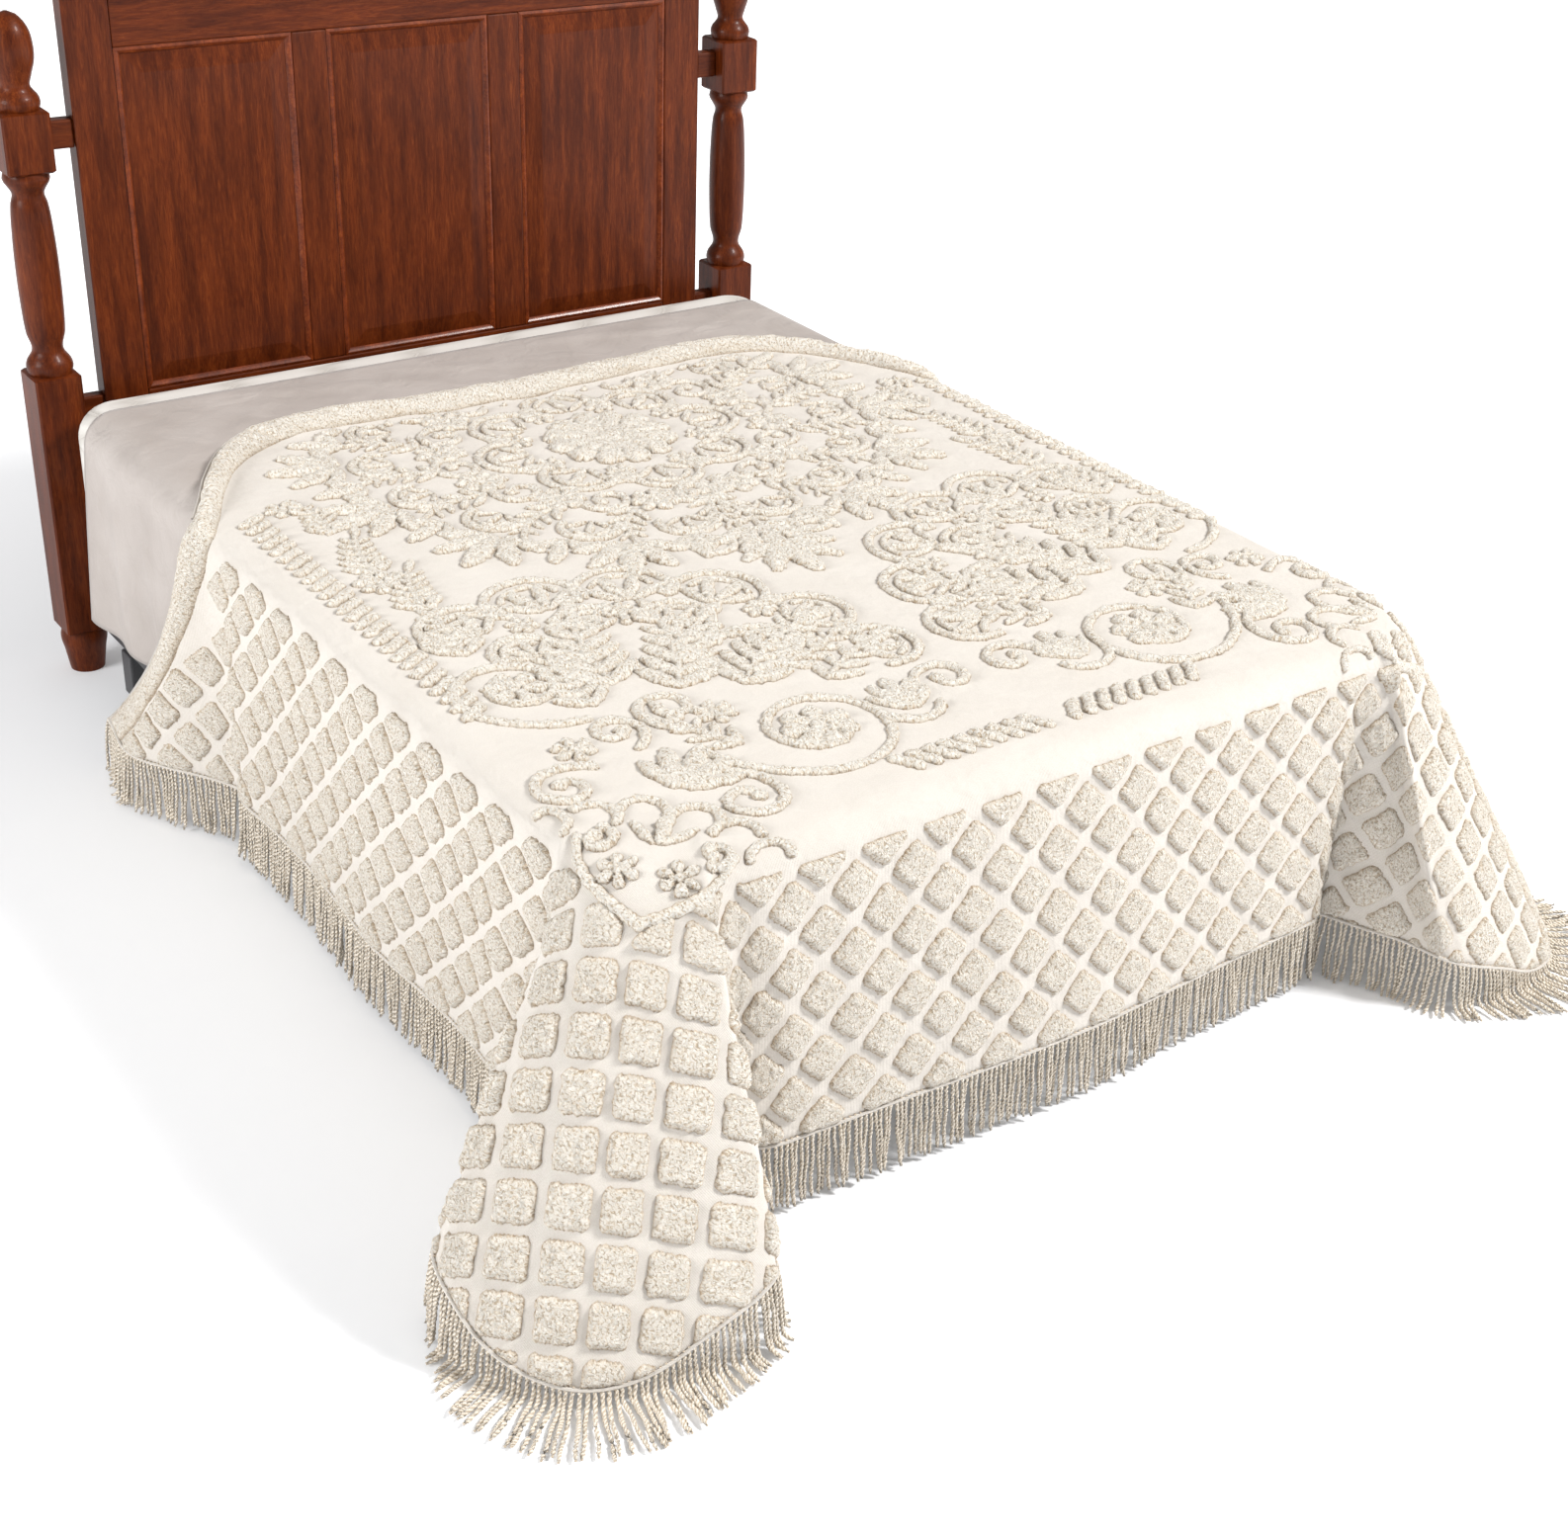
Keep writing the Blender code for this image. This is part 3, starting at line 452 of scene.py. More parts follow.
class Look:
    """A procedural material: its nodes, its shader, and the coordinates that its patterns read."""

    def __init__(self, name, roughness, coordinates="flat", **values):
        self.material = bpy.data.materials.new(name)
        self.material.use_nodes = True
        self.tree = self.material.node_tree
        self.shader = self.tree.nodes["Principled BSDF"]
        self.shader.inputs["Roughness"].default_value = roughness
        for key, value in values.items():
            self.shader.inputs[key.replace("_", " ")].default_value = value
        if coordinates == "flat":
            self.where = self.node("UVMap", uv_map="flat").outputs["UV"]
        else:
            self.where = self.node("TexCoord").outputs[coordinates]

    def node(self, kind, values=None, **settings):
        item = self.tree.nodes.new("ShaderNode" + kind)
        for key, value in settings.items():
            setattr(item, key, value)
        for key, value in (values or {}).items():
            if isinstance(value, bpy.types.NodeSocket):
                self.tree.links.new(value, item.inputs[key])
            else:
                item.inputs[key].default_value = value
        return item

    def noise(self, scale, detail=2.0, where=None, output="Fac", **values):
        values.update({"Vector": where or self.where, "Scale": scale, "Detail": detail})
        return self.node("TexNoise", values).outputs[output]

    def wave(self, scale, direction, where=None, distortion=0.0):
        values = {"Vector": where or self.where, "Scale": scale, "Distortion": distortion}
        return self.node("TexWave", values, bands_direction=direction).outputs["Fac"]

    def maths(self, operation, first, second):
        return self.node("Math", {0: first, 1: second}, operation=operation).outputs[0]

    def vector(self, operation, first, second):
        return self.node("VectorMath", {0: first, 1: second}, operation=operation).outputs[0]

    def ramp(self, factor, *stops):
        """Colours by factor, from (position, colour) stops."""
        item = self.node("ValToRGB", {"Fac": factor})
        elements = item.color_ramp.elements
        while len(elements) < len(stops):
            elements.new(0.5)
        for element, (position, colour) in zip(elements, stops):
            element.position = position
            element.color = (*colour, 1.0)
        return item.outputs["Color"]

    def multiply(self, first, second, share=1.0):
        """One colour darkened by another."""
        item = self.node("Mix", data_type="RGBA", blend_type="MULTIPLY")
        sockets = {socket.identifier: socket for socket in item.inputs}
        sockets["Factor_Float"].default_value = share
        self.tree.links.new(first, sockets["A_Color"])
        self.tree.links.new(second, sockets["B_Color"])
        return next(socket for socket in item.outputs if socket.identifier == "Result_Color")

    def paint(self, colour):
        self.tree.links.new(colour, self.shader.inputs["Base Color"])

    def bump(self, height, distance, strength):
        """Relief on top of whatever relief the shader already has."""
        normal = self.shader.inputs["Normal"]
        values = {"Height": height, "Distance": distance, "Strength": strength}
        if normal.is_linked:
            values["Normal"] = normal.links[0].from_socket
        self.tree.links.new(self.node("Bump", values).outputs["Normal"], normal)


def make_ground():
    """Plain woven cotton between the pile: fine weave, soft puckers, faint warm and cool patches."""
    look = Look("woven_ground", 0.88, Sheen_Weight=0.2, Sheen_Roughness=0.5)
    tint = look.ramp(look.noise(9.0, 3.0), (0.3, (0.684, 0.646, 0.601)), (0.7, (0.722, 0.687, 0.645)))
    slub = look.ramp(look.noise(480.0), (0.35, (0.92, 0.905, 0.88)), (0.65, WHITE))
    look.paint(look.multiply(tint, slub))
    look.bump(look.noise(34.0), 0.010, 0.4)
    weave = look.maths("ADD", look.wave(130.0, "X", distortion=0.6), look.wave(130.0, "Y", distortion=0.6))
    look.bump(weave, 0.0006, 0.5)
    return look.material


def make_pile(name, depth, shadow, middle, light, foot_shade):
    """Cut chenille tufts: small uneven nubs, with painted light on their tops, painted shade in the crevices
    between them, and painted shade at the foot of the pile.
    """
    look = Look(name, 0.96, Sheen_Weight=0.08, Sheen_Roughness=0.6)
    nudge = look.vector("SUBTRACT", look.noise(210.0, 1.0, output="Color"), (0.5, 0.5, 0.5))
    bent = look.vector("ADD", look.where, look.vector("MULTIPLY", nudge, (0.008, 0.008, 0.008)))
    drawn = look.vector("MULTIPLY", bent, (1.25, 0.80, 1.0))
    tufts = look.node("TexVoronoi", {"Vector": drawn, "Scale": 330.0, "Randomness": 1.0},
                      voronoi_dimensions="2D", feature="SMOOTH_F1").outputs["Distance"]
    fluff = look.noise(360.0, 3.0, drawn, Roughness=0.7)
    nub = look.maths("SUBTRACT", fluff, look.maths("MULTIPLY", tufts, 0.60))
    # Painted light on the tops of the nubs and painted shade in the crevices between them.
    shade = look.ramp(nub, (0.07, shadow), (0.21, middle), (0.38, light))
    cast = look.ramp(look.noise(38.0, 3.0), (0.3, (0.965, 0.955, 0.940)), (0.65, WHITE))
    rise = look.node("Attribute", attribute_name="rise").outputs["Fac"]
    # Painted shade: the low foot of the pile, by its rise, is darkened as if shaded where the pile meets the
    # ground.
    root = look.ramp(rise, (0.04, foot_shade), (0.52, (0.93, 0.90, 0.86)), (0.82, WHITE))
    look.paint(look.multiply(look.multiply(shade, cast), root))
    look.bump(nub, depth, 0.9)
    return look.material


def make_cord():
    """Twisted cotton: light plies, with darker bands of painted groove shade between them, which the relief
    sets a little proud.
    """
    look = Look("fringe_cord", 0.93, Sheen_Weight=0.2, Sheen_Roughness=0.6)
    twist = look.wave(CORD_WAVE, "DIAGONAL")
    # Painted shade: the darker stops stand for the shade in the grooves between the plies.
    plies = look.ramp(twist, (0.05, (0.620, 0.515, 0.395)), (0.40, (0.850, 0.775, 0.670)),
                      (0.85, (0.925, 0.870, 0.785)))
    cast = look.ramp(look.noise(60.0, 3.0), (0.3, (0.86, 0.835, 0.79)), (0.7, WHITE))
    look.paint(look.multiply(plies, cast))
    look.bump(twist, -0.0016, 0.8)
    return look.material


def make_sheeting():
    """Smooth white percale with a faint weave and soft creasing, its white painted down to grey-beige as
    painted shade from pillows, which are not built here.
    """
    look = Look("white_percale", 0.75, Sheen_Weight=0.15, Sheen_Roughness=0.4)
    # Painted shade: the sheet's colour is well below white, for the shade that pillows would cast on it.
    look.paint(look.ramp(look.noise(7.0), (0.3, (0.392, 0.350, 0.326)), (0.7, (0.460, 0.418, 0.394))))
    look.bump(look.noise(17.0, 4.0, Distortion=0.6), 0.014, 0.55)
    look.bump(look.noise(900.0), 0.0003, 0.3)
    return look.material


def make_ticking():
    """Mattress cover: quilted cotton with a shallow diamond stitch."""
    look = Look("quilted_ticking", 0.85, Sheen_Weight=0.1)
    mirrored = look.vector("MULTIPLY", look.where, (-1.0, 1.0, 1.0))
    quilt = look.maths("MINIMUM", look.wave(3.2, "DIAGONAL"), look.wave(3.2, "DIAGONAL", mirrored))
    soft = look.maths("POWER", quilt, 0.35)
    look.paint(look.ramp(soft, (0.25, (0.56, 0.535, 0.50)), (0.8, (0.68, 0.66, 0.63))))
    look.bump(soft, 0.006, 0.8)
    look.bump(look.noise(600.0), 0.0004, 0.3)
    return look.material


CHERRY_STOPS = (
    # place on the ramp, colour
    (0.28, (0.068, 0.0105, 0.0018)), (0.5, (0.122, 0.022, 0.0036)), (0.74, (0.192, 0.042, 0.0076)),
)


def make_cherry(name, stretch, gloss=0.07, painted_highlight=1.0):
    """Stained and varnished cherry, its grain drawn out along the board."""
    look = Look(name, 0.42, "Object", Specular_IOR_Level=0.12, Coat_Weight=gloss, Coat_Roughness=0.15)
    drawn = look.vector("MULTIPLY", look.where, stretch)
    grain = look.noise(26.0, 7.0, drawn, Roughness=0.62, Distortion=1.1)
    fine = look.noise(160.0, 3.0, drawn)
    # Painted highlight: the whole ramp is lightened by this factor, so the mouldings stand lighter as if
    # lit.
    wood = look.ramp(grain, *((at, tuple(painted_highlight * part for part in colour)) for at, colour in CHERRY_STOPS))
    depth = look.ramp(look.noise(5.0, where=drawn), (0.34, (0.52, 0.47, 0.44)), (0.66, WHITE))
    pores = look.ramp(fine, (0.30, (0.76, 0.73, 0.71)), (0.46, WHITE))
    look.paint(look.multiply(look.multiply(wood, depth), pores, 0.7))
    look.bump(fine, 0.0006, 0.25)
    return look.material


def make_steel():
    """Black powder coat with its slight orange peel."""
    look = Look("black_powder_coat", 0.45, "Object")
    peel = look.noise(420.0)
    look.paint(look.ramp(peel, (0.3, (0.030, 0.030, 0.033)), (0.7, (0.055, 0.055, 0.060))))
    look.bump(peel, 0.0006, 0.4)
    return look.material


# -------- heights of the pile

def head_edge(u):
    """Where the head hem of the flat cloth lies, on the top and down both sides."""
    fall = clamp((np.abs(u) - HALF_WIDTH) / DROP) ** FAN_CURVE
    return np.where(np.abs(u) < HALF_WIDTH, head_hem(u), HEAD_AT_EDGE + FAN_OPENING * fall)


def cloth_inside(u, v):
    """Distance from a flat point in to the nearest hem, negative off the cloth."""
    beyond_side, beyond_foot, angle = from_pivot(u, v)
    outer = reach_to_hem(angle) - np.hypot(beyond_side, beyond_foot)
    return np.minimum(outer, head_edge(u) - v)


def head_roll(u, v):
    """The wrinkled roll along the head hem; negative off it."""
    middle = RIDGE_WIDTH * (0.50 + 0.05 * value_noise(u, v, 0.090, 42))
    across = np.abs(head_edge(u) - v - middle) / ROLL_HALF
    pleats = 0.5 + 0.5 * value_noise(u * 0.5 + v * 1.5, v * 0.30 - u * 0.2, 0.017, 41)
    roll = ROLL_HEIGHT * np.sqrt(np.maximum(1 - across ** 2, 0.0)) * (0.50 + 0.50 * pleats)
    roll = roll + 0.6 * noise_layers(u, v, NUBS) * clamp(2 - 2 * across)
    return np.where(across < 1, roll, np.maximum((1 - across) * 0.02, DEEPEST))


def eased(u, v):
    """Where the lattice is read from: drawn in towards the bed over each corner's cone."""
    angle = from_pivot(u, v)[2]
    shift = CORNER_SHIFT * np.sin(2 * angle) ** 2
    return u + np.sign(u) * shift * np.cos(angle), v - shift * np.sin(angle)


def lattice_height(u, v):
    """The diagonal lattice of tufted squares, cut straight along the plain band; negative off them."""
    drawn_u, drawn_v = eased(u, v)
    rise = (drawn_v - BAND_V) / PITCH
    run = drawn_u / PITCH
    column = np.floor(run + rise)
    row = np.floor(run - rise)
    middle_u = np.abs(column + row + 1) / 2 * PITCH
    middle_v = (column - row) / 2 * PITCH
    cell = PITCH / math.sqrt(2)
    along = np.abs(run + rise - column - 0.5) * cell
    across = np.abs(run - rise - row - 0.5) * cell
    flat = SQUARE_HALF - SQUARE_ROUND
    over = np.hypot(np.maximum(along - flat, 0.0), np.maximum(across - flat, 0.0))
    inside = np.minimum(SQUARE_ROUND - over, SQUARE_HALF - np.maximum(along, across))
    band = np.maximum(np.abs(drawn_u) - BAND_U + BAND_EASE_SIDE, BAND_V - drawn_v + BAND_EASE_FOOT)
    hem = cloth_inside(u, v) - HEM_MARGIN
    below_roll = head_edge(u) - v - RIDGE_WIDTH
    inside = np.minimum.reduce([inside, band, hem, below_roll - ROLL_MARGIN])

    # Squares whose middle lies under the roll, or on the plain band, are left out whole
    under_roll = head_edge(np.sign(u) * middle_u) - middle_v - RIDGE_WIDTH < -SQUARE_UNDER_ROLL
    on_band = (middle_u < BAND_U - 0.001) & (middle_v > 0.001)
    inside = np.where(under_roll | on_band, -SQUARE_SHOULDER, inside)
    inside = inside + SQUARE_WOBBLE * value_noise(u, v, 0.0070, 21)
    share = clamp(inside / SQUARE_SHOULDER)
    each = 0.92 + 0.10 * value_noise(column, row, 1.0, 22)
    height = PILE_HEIGHT * each * np.sqrt(1 - (1 - share) ** 2)
    height = height + noise_layers(u, v, NUBS) * np.minimum(share * 2, 1.0)
    squares = np.where(share > 0, height, np.maximum(inside, DEEPEST))
    return np.where(head_edge(u) - v < RIDGE_WIDTH, np.minimum(head_roll(u, v), hem), squares)


STROKES = []
SCROLL_STEPS = 26
TAIL_STEPS = 9
ARC_STEPS = 14


def line(points, radii):
    """Tufting through flat points, with one radius for all of it or one for each point."""
    radii = radii if np.ndim(radii) else [radii] * len(points)
    for k in range(len(points) - 1):
        STROKES.append((*points[k], radii[k], *points[k + 1], radii[k + 1]))


def dot(point, radius):
    line([point, point], radius)


def both_halves(axis=PATTERN_AXIS):
    """The strokes moved to the pattern's axis, with their mirror image."""
    right = [(a + axis, b, c, d + axis, e, f) for a, b, c, d, e, f in STROKES]
    return right + [(2 * axis - a, b, c, 2 * axis - d, e, f) for a, b, c, d, e, f in right]


def span(first, last, reach, stations):
    """Slice of even stations that holds two ends and what lies within reach of them."""
    spacing = stations[1] - stations[0]
    low = int((min(first, last) - reach - stations[0]) / spacing)
    high = int((max(first, last) + reach - stations[0]) / spacing) + 2
    return slice(max(low, 0), high)


def stroke_height(us, vs):
    """Rounded, uneven cords of pile along all strokes, over a grid of flat points; negative off them."""
    u, v = np.meshgrid(us, vs, indexing="ij")
    wobble = 1 + LINE_WOBBLE * value_noise(u, v, 0.0065, 31)
    best = np.full_like(u, -1.0)
    for x0, y0, r0, x1, y1, r1 in both_halves():
        reach = (1 + LINE_WOBBLE) * max(r0, r1) + LINE_MARGIN
        window = (span(x0, x1, reach, us), span(y0, y1, reach, vs))
        pu, pv = u[window], v[window]
        if pu.size == 0:
            continue
        dx, dy = x1 - x0, y1 - y0
        t = clamp(((pu - x0) * dx + (pv - y0) * dy) / max(dx * dx + dy * dy, 1e-12))
        radius = (r0 + (r1 - r0) * t) * wobble[window]
        out = np.hypot(pu - x0 - t * dx, pv - y0 - t * dy) / radius
        crown = LINE_HEIGHT * np.sqrt(radius / LINE_RADIUS) * np.sqrt(np.maximum(1 - out ** 2, 0.0))
        best[window] = np.maximum(best[window], np.where(out < 1, crown, (1 - out) * LINE_RADIUS))
    tufted = best + noise_layers(u, v, NUBS) * clamp(best / LINE_HEIGHT)
    return np.where(best > 0, tufted, np.maximum(best, DEEPEST))


def polar(x, y, reach, angle):
    return (x + reach * math.cos(angle), y + reach * math.sin(angle))


def scroll(x, y, radius, start, turns, turning, tail=0.0, inner=0.30, width=LINE_RADIUS):
    """A spiral that winds in from its radius round (x, y) to a knob, with a tail that runs off it."""
    points = []
    for k in range(TAIL_STEPS if tail else 0):
        share = 1 - k / TAIL_STEPS
        reach = radius * (1 + 0.42 * tail / 0.2 * share ** 1.6)
        points.append(polar(x, y, reach, start - turning * TURN * tail * share))
    steps = max(int(SCROLL_STEPS * turns), 8)
    for k in range(steps + 1):
        share = k / steps
        reach = radius * (1 - (1 - inner) * share ** 0.85)
        points.append(polar(x, y, reach, start + turning * TURN * turns * share))
    line(points, width)
    dot(points[-1], width * 1.45)


def leaf(x, y, length, angle, fat=0.34):
    """A teardrop of pile from its stalk at (x, y) to its tip."""
    rows = ((0.0, 0.45), (0.30, 0.88), (0.60, 1.0), (0.85, 0.80), (1.0, 0.55))
    points = [polar(x, y, length * share, angle) for share, _ in rows]
    line(points, [length * fat * size / 2 for _, size in rows])


def rosette(x, y, radius, petals, spin=0.0):
    """Round petals about an eye."""
    size = min(0.80 * math.pi / petals, 0.30) * radius
    for k in range(petals):
        angle = spin + TURN * k / petals
        line([polar(x, y, radius * 0.42, angle), polar(x, y, radius - size, angle)], [size * 0.75, size])
    dot((x, y), radius * 0.24)


def fan(x, y, radius, angle, spread, leaves, fat=0.30):
    """Leaves spread like an open hand."""
    for k in range(leaves):
        share = k / (leaves - 1) - 0.5
        length = radius * (1 - 0.75 * abs(share) ** 1.5)
        start = polar(x, y, radius * 0.16, angle + share * spread)
        leaf(*start, length, angle + share * spread, fat)


def arc(x, y, radius, angle, spread, width=LINE_RADIUS):
    """Part of a circle about (x, y), its middle at the given angle."""
    turns = [angle + spread * (k / ARC_STEPS - 0.5) for k in range(ARC_STEPS + 1)]
    line([polar(x, y, radius, turn) for turn in turns], width)


def shell(x, y, radius, angle, leaves=4):
    """A scallop: an arc that ends in a curl, a second arc within, and leaves that spread from its heart."""
    arc(x, y, radius, angle, 3.7)
    hook = polar(x, y, radius, angle - 1.85)
    scroll(*polar(*hook, radius * 0.30, angle), radius * 0.30, angle + 3.6, 0.7, 1, width=LINE_RADIUS * 0.8)
    arc(x, y, radius * 0.66, angle, 2.3, LINE_RADIUS * 0.75)
    back = polar(x, y, -radius * 0.55, angle)
    fan(*back, radius * 1.05, angle, 1.8, leaves, 0.32)


def frond(x, y, length, angle, bend, pairs):
    """A bending stem clad in pairs of leaves, with one at its tip."""
    points = [(x, y)]
    turn = angle
    steps = pairs * 2
    for k in range(steps):
        size = length * 0.33 * (1 - 0.45 * k / steps)
        for side in (1, -1):
            leaf(*points[-1], size, turn + 0.85 * side, 0.40)
        points.append(polar(*points[-1], length / steps, turn))
        turn += bend / steps
    line(points, LINE_RADIUS * 0.7)
    leaf(*points[-1], length * 0.26, turn, 0.46)


def rope(start, end, pitch=0.0315, half=0.020):
    """A border of slanting bars between two points."""
    length = math.dist(start, end)
    angle = math.atan2(end[1] - start[1], end[0] - start[0])
    slant = angle + math.radians(58)
    for k in range(int(length / pitch) + 1):
        middle = polar(*start, k * pitch, angle)
        line([polar(*middle, -half, slant), polar(*middle, half, slant)], LINE_RADIUS * 1.2)


SHIELD_MIDDLE = (0.700, 0.060)


def by_corner(along, across):
    """A point counted from the middle of the corner's shield: along the diagonal outward, and across it."""
    x, y = SHIELD_MIDDLE
    return (x + (along + across) * math.sqrt(0.5), y + (across - along) * math.sqrt(0.5))


def draw_shield():
    """The shield that falls over the corner, with a wavy frame and a bud behind it."""
    edge = ((-0.020, 0.108), (0.020, 0.104), (0.055, 0.078), (0.085, 0.040), (0.108, 0.0))
    inward = 0.375 * TURN
    for side in (-1, 1):
        line([by_corner(a, b * side) for a, b in edge], LINE_RADIUS)
        scroll(*by_corner(-0.020, 0.080 * side), 0.028, (0.125 + 0.25 * side) * TURN, 0.9, side)
        rosette(*by_corner(0.034, 0.040 * side), 0.031, 6)
        for k in range(3):
            middle = by_corner(-0.098 + 0.028 * k, side * (0.036 + 0.062 * k))
            arc(*middle, 0.033, (0.375 + 0.05 * side * k) * TURN, 2.9, LINE_RADIUS * 0.95)
    fan(*by_corner(-0.020, 0.0), 0.070, inward, 1.5, 3, 0.36)
    fan(*by_corner(-0.165, 0.0), 0.105, inward, 1.7, 5, 0.36)


SCROLLS = (
    # x, y, radius, start in turns, turns, turning, tail in turns
    (0.318, 0.232, 0.128, -0.18, 1.3, -1, 0.2), (0.632, 0.555, 0.1, -0.1, 1.25, 1, 0.2),
    (0.515, 0.112, 0.052, 0.52, 1.0, 1, 0.24), (0.712, 0.262, 0.048, 0.2, 1.0, -1, 0.22),
    (0.47, 0.392, 0.05, -0.05, 1.05, 1, 0.18), (0.575, 0.368, 0.042, 0.55, 1.0, -1, 0.18),
    (0.062, 0.262, 0.048, 0.1, 0.95, 1, 0.12),
)
SHELLS = (
    # x, y, radius, angle in turns
    (0.088, 0.4, 0.064, 0.5), (0.12, 0.545, 0.072, 0.46), (0.198, 0.682, 0.078, 0.38),
    (0.32, 0.768, 0.08, 0.3), (0.462, 0.8, 0.08, 0.25), (0.598, 0.768, 0.074, 0.2),
    (0.232, 0.5, 0.052, 0.45), (0.3, 0.64, 0.056, 0.36), (0.425, 0.69, 0.056, 0.28),
    (0.56, 0.65, 0.052, 0.2),
)
FRONDS = (
    # x, y, length, angle in turns, bend, pairs of leaves
    (0.42, 0.44, 0.23, 0.33, 0.5, 3), (0.33, 0.4, 0.23, 0.37, 0.5, 3), (0.215, 0.35, 0.16, 0.4, 0.3, 2),
    (0.5, 0.5, 0.23, 0.27, 0.3, 3), (0.555, 0.455, 0.17, 0.24, 0.4, 3), (0.38, 0.52, 0.17, 0.33, -0.4, 2),
    (0.64, 0.69, 0.17, 0.26, 0.3, 3), (0.25, 0.42, 0.15, 0.47, -0.5, 2), (0.44, 0.25, 0.14, 0.16, 0.6, 2),
    (0.62, 0.86, 0.15, 0.26, 0.5, 3),
)
ROSETTES = (
    # x, y, radius, petals
    (0.318, 0.232, 0.06, 7), (0.632, 0.555, 0.048, 6), (0.3, 0.56, 0.036, 7), (0.5, 0.6, 0.036, 7),
    (0.17, 0.6, 0.03, 6), (0.175, 0.47, 0.03, 6), (0.365, 0.715, 0.028, 6), (0.52, 0.735, 0.028, 6),
    (0.42, 0.345, 0.034, 6), (0.65, 0.35, 0.034, 6), (0.64, 0.985, 0.04, 7),
)


def draw_corner():
    """The right foot corner's cluster, with its borders; the left one is its mirror image."""
    rope((0.716, 0.520), (0.716, 1.330))
    rope((0.036, 0.082), (0.292, 0.082), 0.0295)
    draw_shield()
    for x, y, radius, start, *shape in SCROLLS:
        scroll(x, y, radius, start * TURN, *shape)
    for x, y, radius, angle in SHELLS:
        shell(x, y, radius, angle * TURN)
    for x, y, length, angle, *shape in FRONDS:
        frond(x, y, length, angle * TURN, *shape)
    for x, y, radius, petals in ROSETTES:
        rosette(x, y, radius, petals, x * 9)
    # A bell over the foot's border, and sprays that lead to the head
    fan(0.165, 0.200, 0.085, 0.27 * TURN, 1.4, 5, 0.34)
    arc(0.165, 0.225, 0.052, 0.77 * TURN, 2.4)
    frond(0.630, 1.020, 0.150, 0.26 * TURN, 0.4, 3)
    frond(0.625, 1.200, 0.130, 0.29 * TURN, -0.5, 3)
    rosette(0.650, 1.330, 0.034, 6)


MEDALLION = (0.0, 1.350)
MEDALLION_WIDE = 0.590
MEDALLION_LONG = 0.560


def in_medallion(share, angle):
    """A point at a share of the way from the medallion's middle to its edge."""
    return (MEDALLION[0] + share * MEDALLION_WIDE * math.cos(angle),
            MEDALLION[1] + share * MEDALLION_LONG * math.sin(angle))


def half_ring(count, of):
    """Angles of even places round the medallion, from its foot to the right, each with half their step."""
    for k in range(count):
        yield -TURN / 4 + TURN * k / of, TURN / (2 * of)


def draw_medallion():
    """Rings of shells, scrolls, sprays and fans of leaves about a large flower, the right half of them."""
    rosette(*MEDALLION, 0.125, 12)
    rosette(*MEDALLION, 0.055, 8, 0.2)
    for angle, half in half_ring(5, 8):
        shell(*in_medallion(0.335, angle), 0.066, angle, 3)
        rosette(*in_medallion(0.290, angle + half), 0.030, 6)
    for angle, half in half_ring(7, 12):
        rosette(*in_medallion(0.540, angle + half), 0.046, 7, angle)
        scroll(*in_medallion(0.520, angle), 0.050, angle + 1.2, 1.05, -1, 0.15)
    for angle, half in half_ring(9, 16):
        frond(*in_medallion(0.600, angle), 0.140, angle + 0.45, -0.9, 2)
        shell(*in_medallion(0.730, angle + half), 0.050, angle + half, 3)
    for angle, half in half_ring(8, 14):
        fan(*in_medallion(0.845, angle), 0.105, angle, 2.5, 5, 0.40)
        fan(*in_medallion(0.820, angle + half), 0.080, angle + half, 1.5, 3, 0.40)
    fan(MEDALLION[0], 0.805, 0.105, -TURN / 4, 2.3, 5, 0.42)
    scroll(0.092, 0.845, 0.042, 0.0, 1.0, -1, 0.15)


def motif_height(u, v):
    """Scrollwork on the top, and the roll at the head; negative off the pile."""
    lines = stroke_height(u[:, 0], v[0, :])
    lines = np.where(head_edge(u) - v > RIDGE_WIDTH + SCROLL_ROLL_MARGIN, lines, DEEPEST)
    return np.maximum(lines, np.where(np.abs(u) < BAND_U + ROLL_OVERLAP, head_roll(u, v), DEEPEST))


# -------- the cloth

def pile_pieces(low, high, spacing, height_of, cuts, material):
    """Shells of pile on an even grid of the flat cloth from low to high, each between two cuts across it."""
    us = np.arange(low[0], high[0] + spacing / 2, spacing)
    vs = np.arange(low[1], high[1] + spacing / 2, spacing)
    u, v = np.meshgrid(us, vs, indexing="ij")
    height = np.where(cloth_inside(u, v) > HEM_MARGIN * 0.3, height_of(u, v), DEEPEST)
    tall = height > 0
    cells = tall[:-1, :-1] | tall[1:, :-1] | tall[:-1, 1:] | tall[1:, 1:]
    corners = grid_quads(np.arange(u.size).reshape(u.shape))
    pieces = []
    for name, start, end in cuts:
        chosen = cells & ((us[:-1] >= start) & (us[:-1] < end))[:, None]
        used, quads = np.unique(corners[chosen.ravel()], return_inverse=True)
        pu = u.ravel()[used]
        pv = v.ravel()[used]
        rise = height.ravel()[used]
        offset = BASE_OFFSET + BASE_THICKNESS / 2 - PILE_SINK + rise + crease_lift(pu, pv)
        points = on_bed(pu, pv) + facing(pu, pv) * offset[:, None]
        flat = np.stack([pu, pv], axis=1)
        piece = quad_piece(name, points, quads.reshape(-1, 4), flat, material)
        # The rise attribute, the pile's height as a share of its full rise, sets the painted shade at the
        # foot of the pile.
        shade = piece.data.attributes.new("rise", "FLOAT", "POINT")
        shade.data.foreach_set("value", clamp(rise / FULL_RISE).astype(np.float32))
        pieces.append(piece)
    return pieces


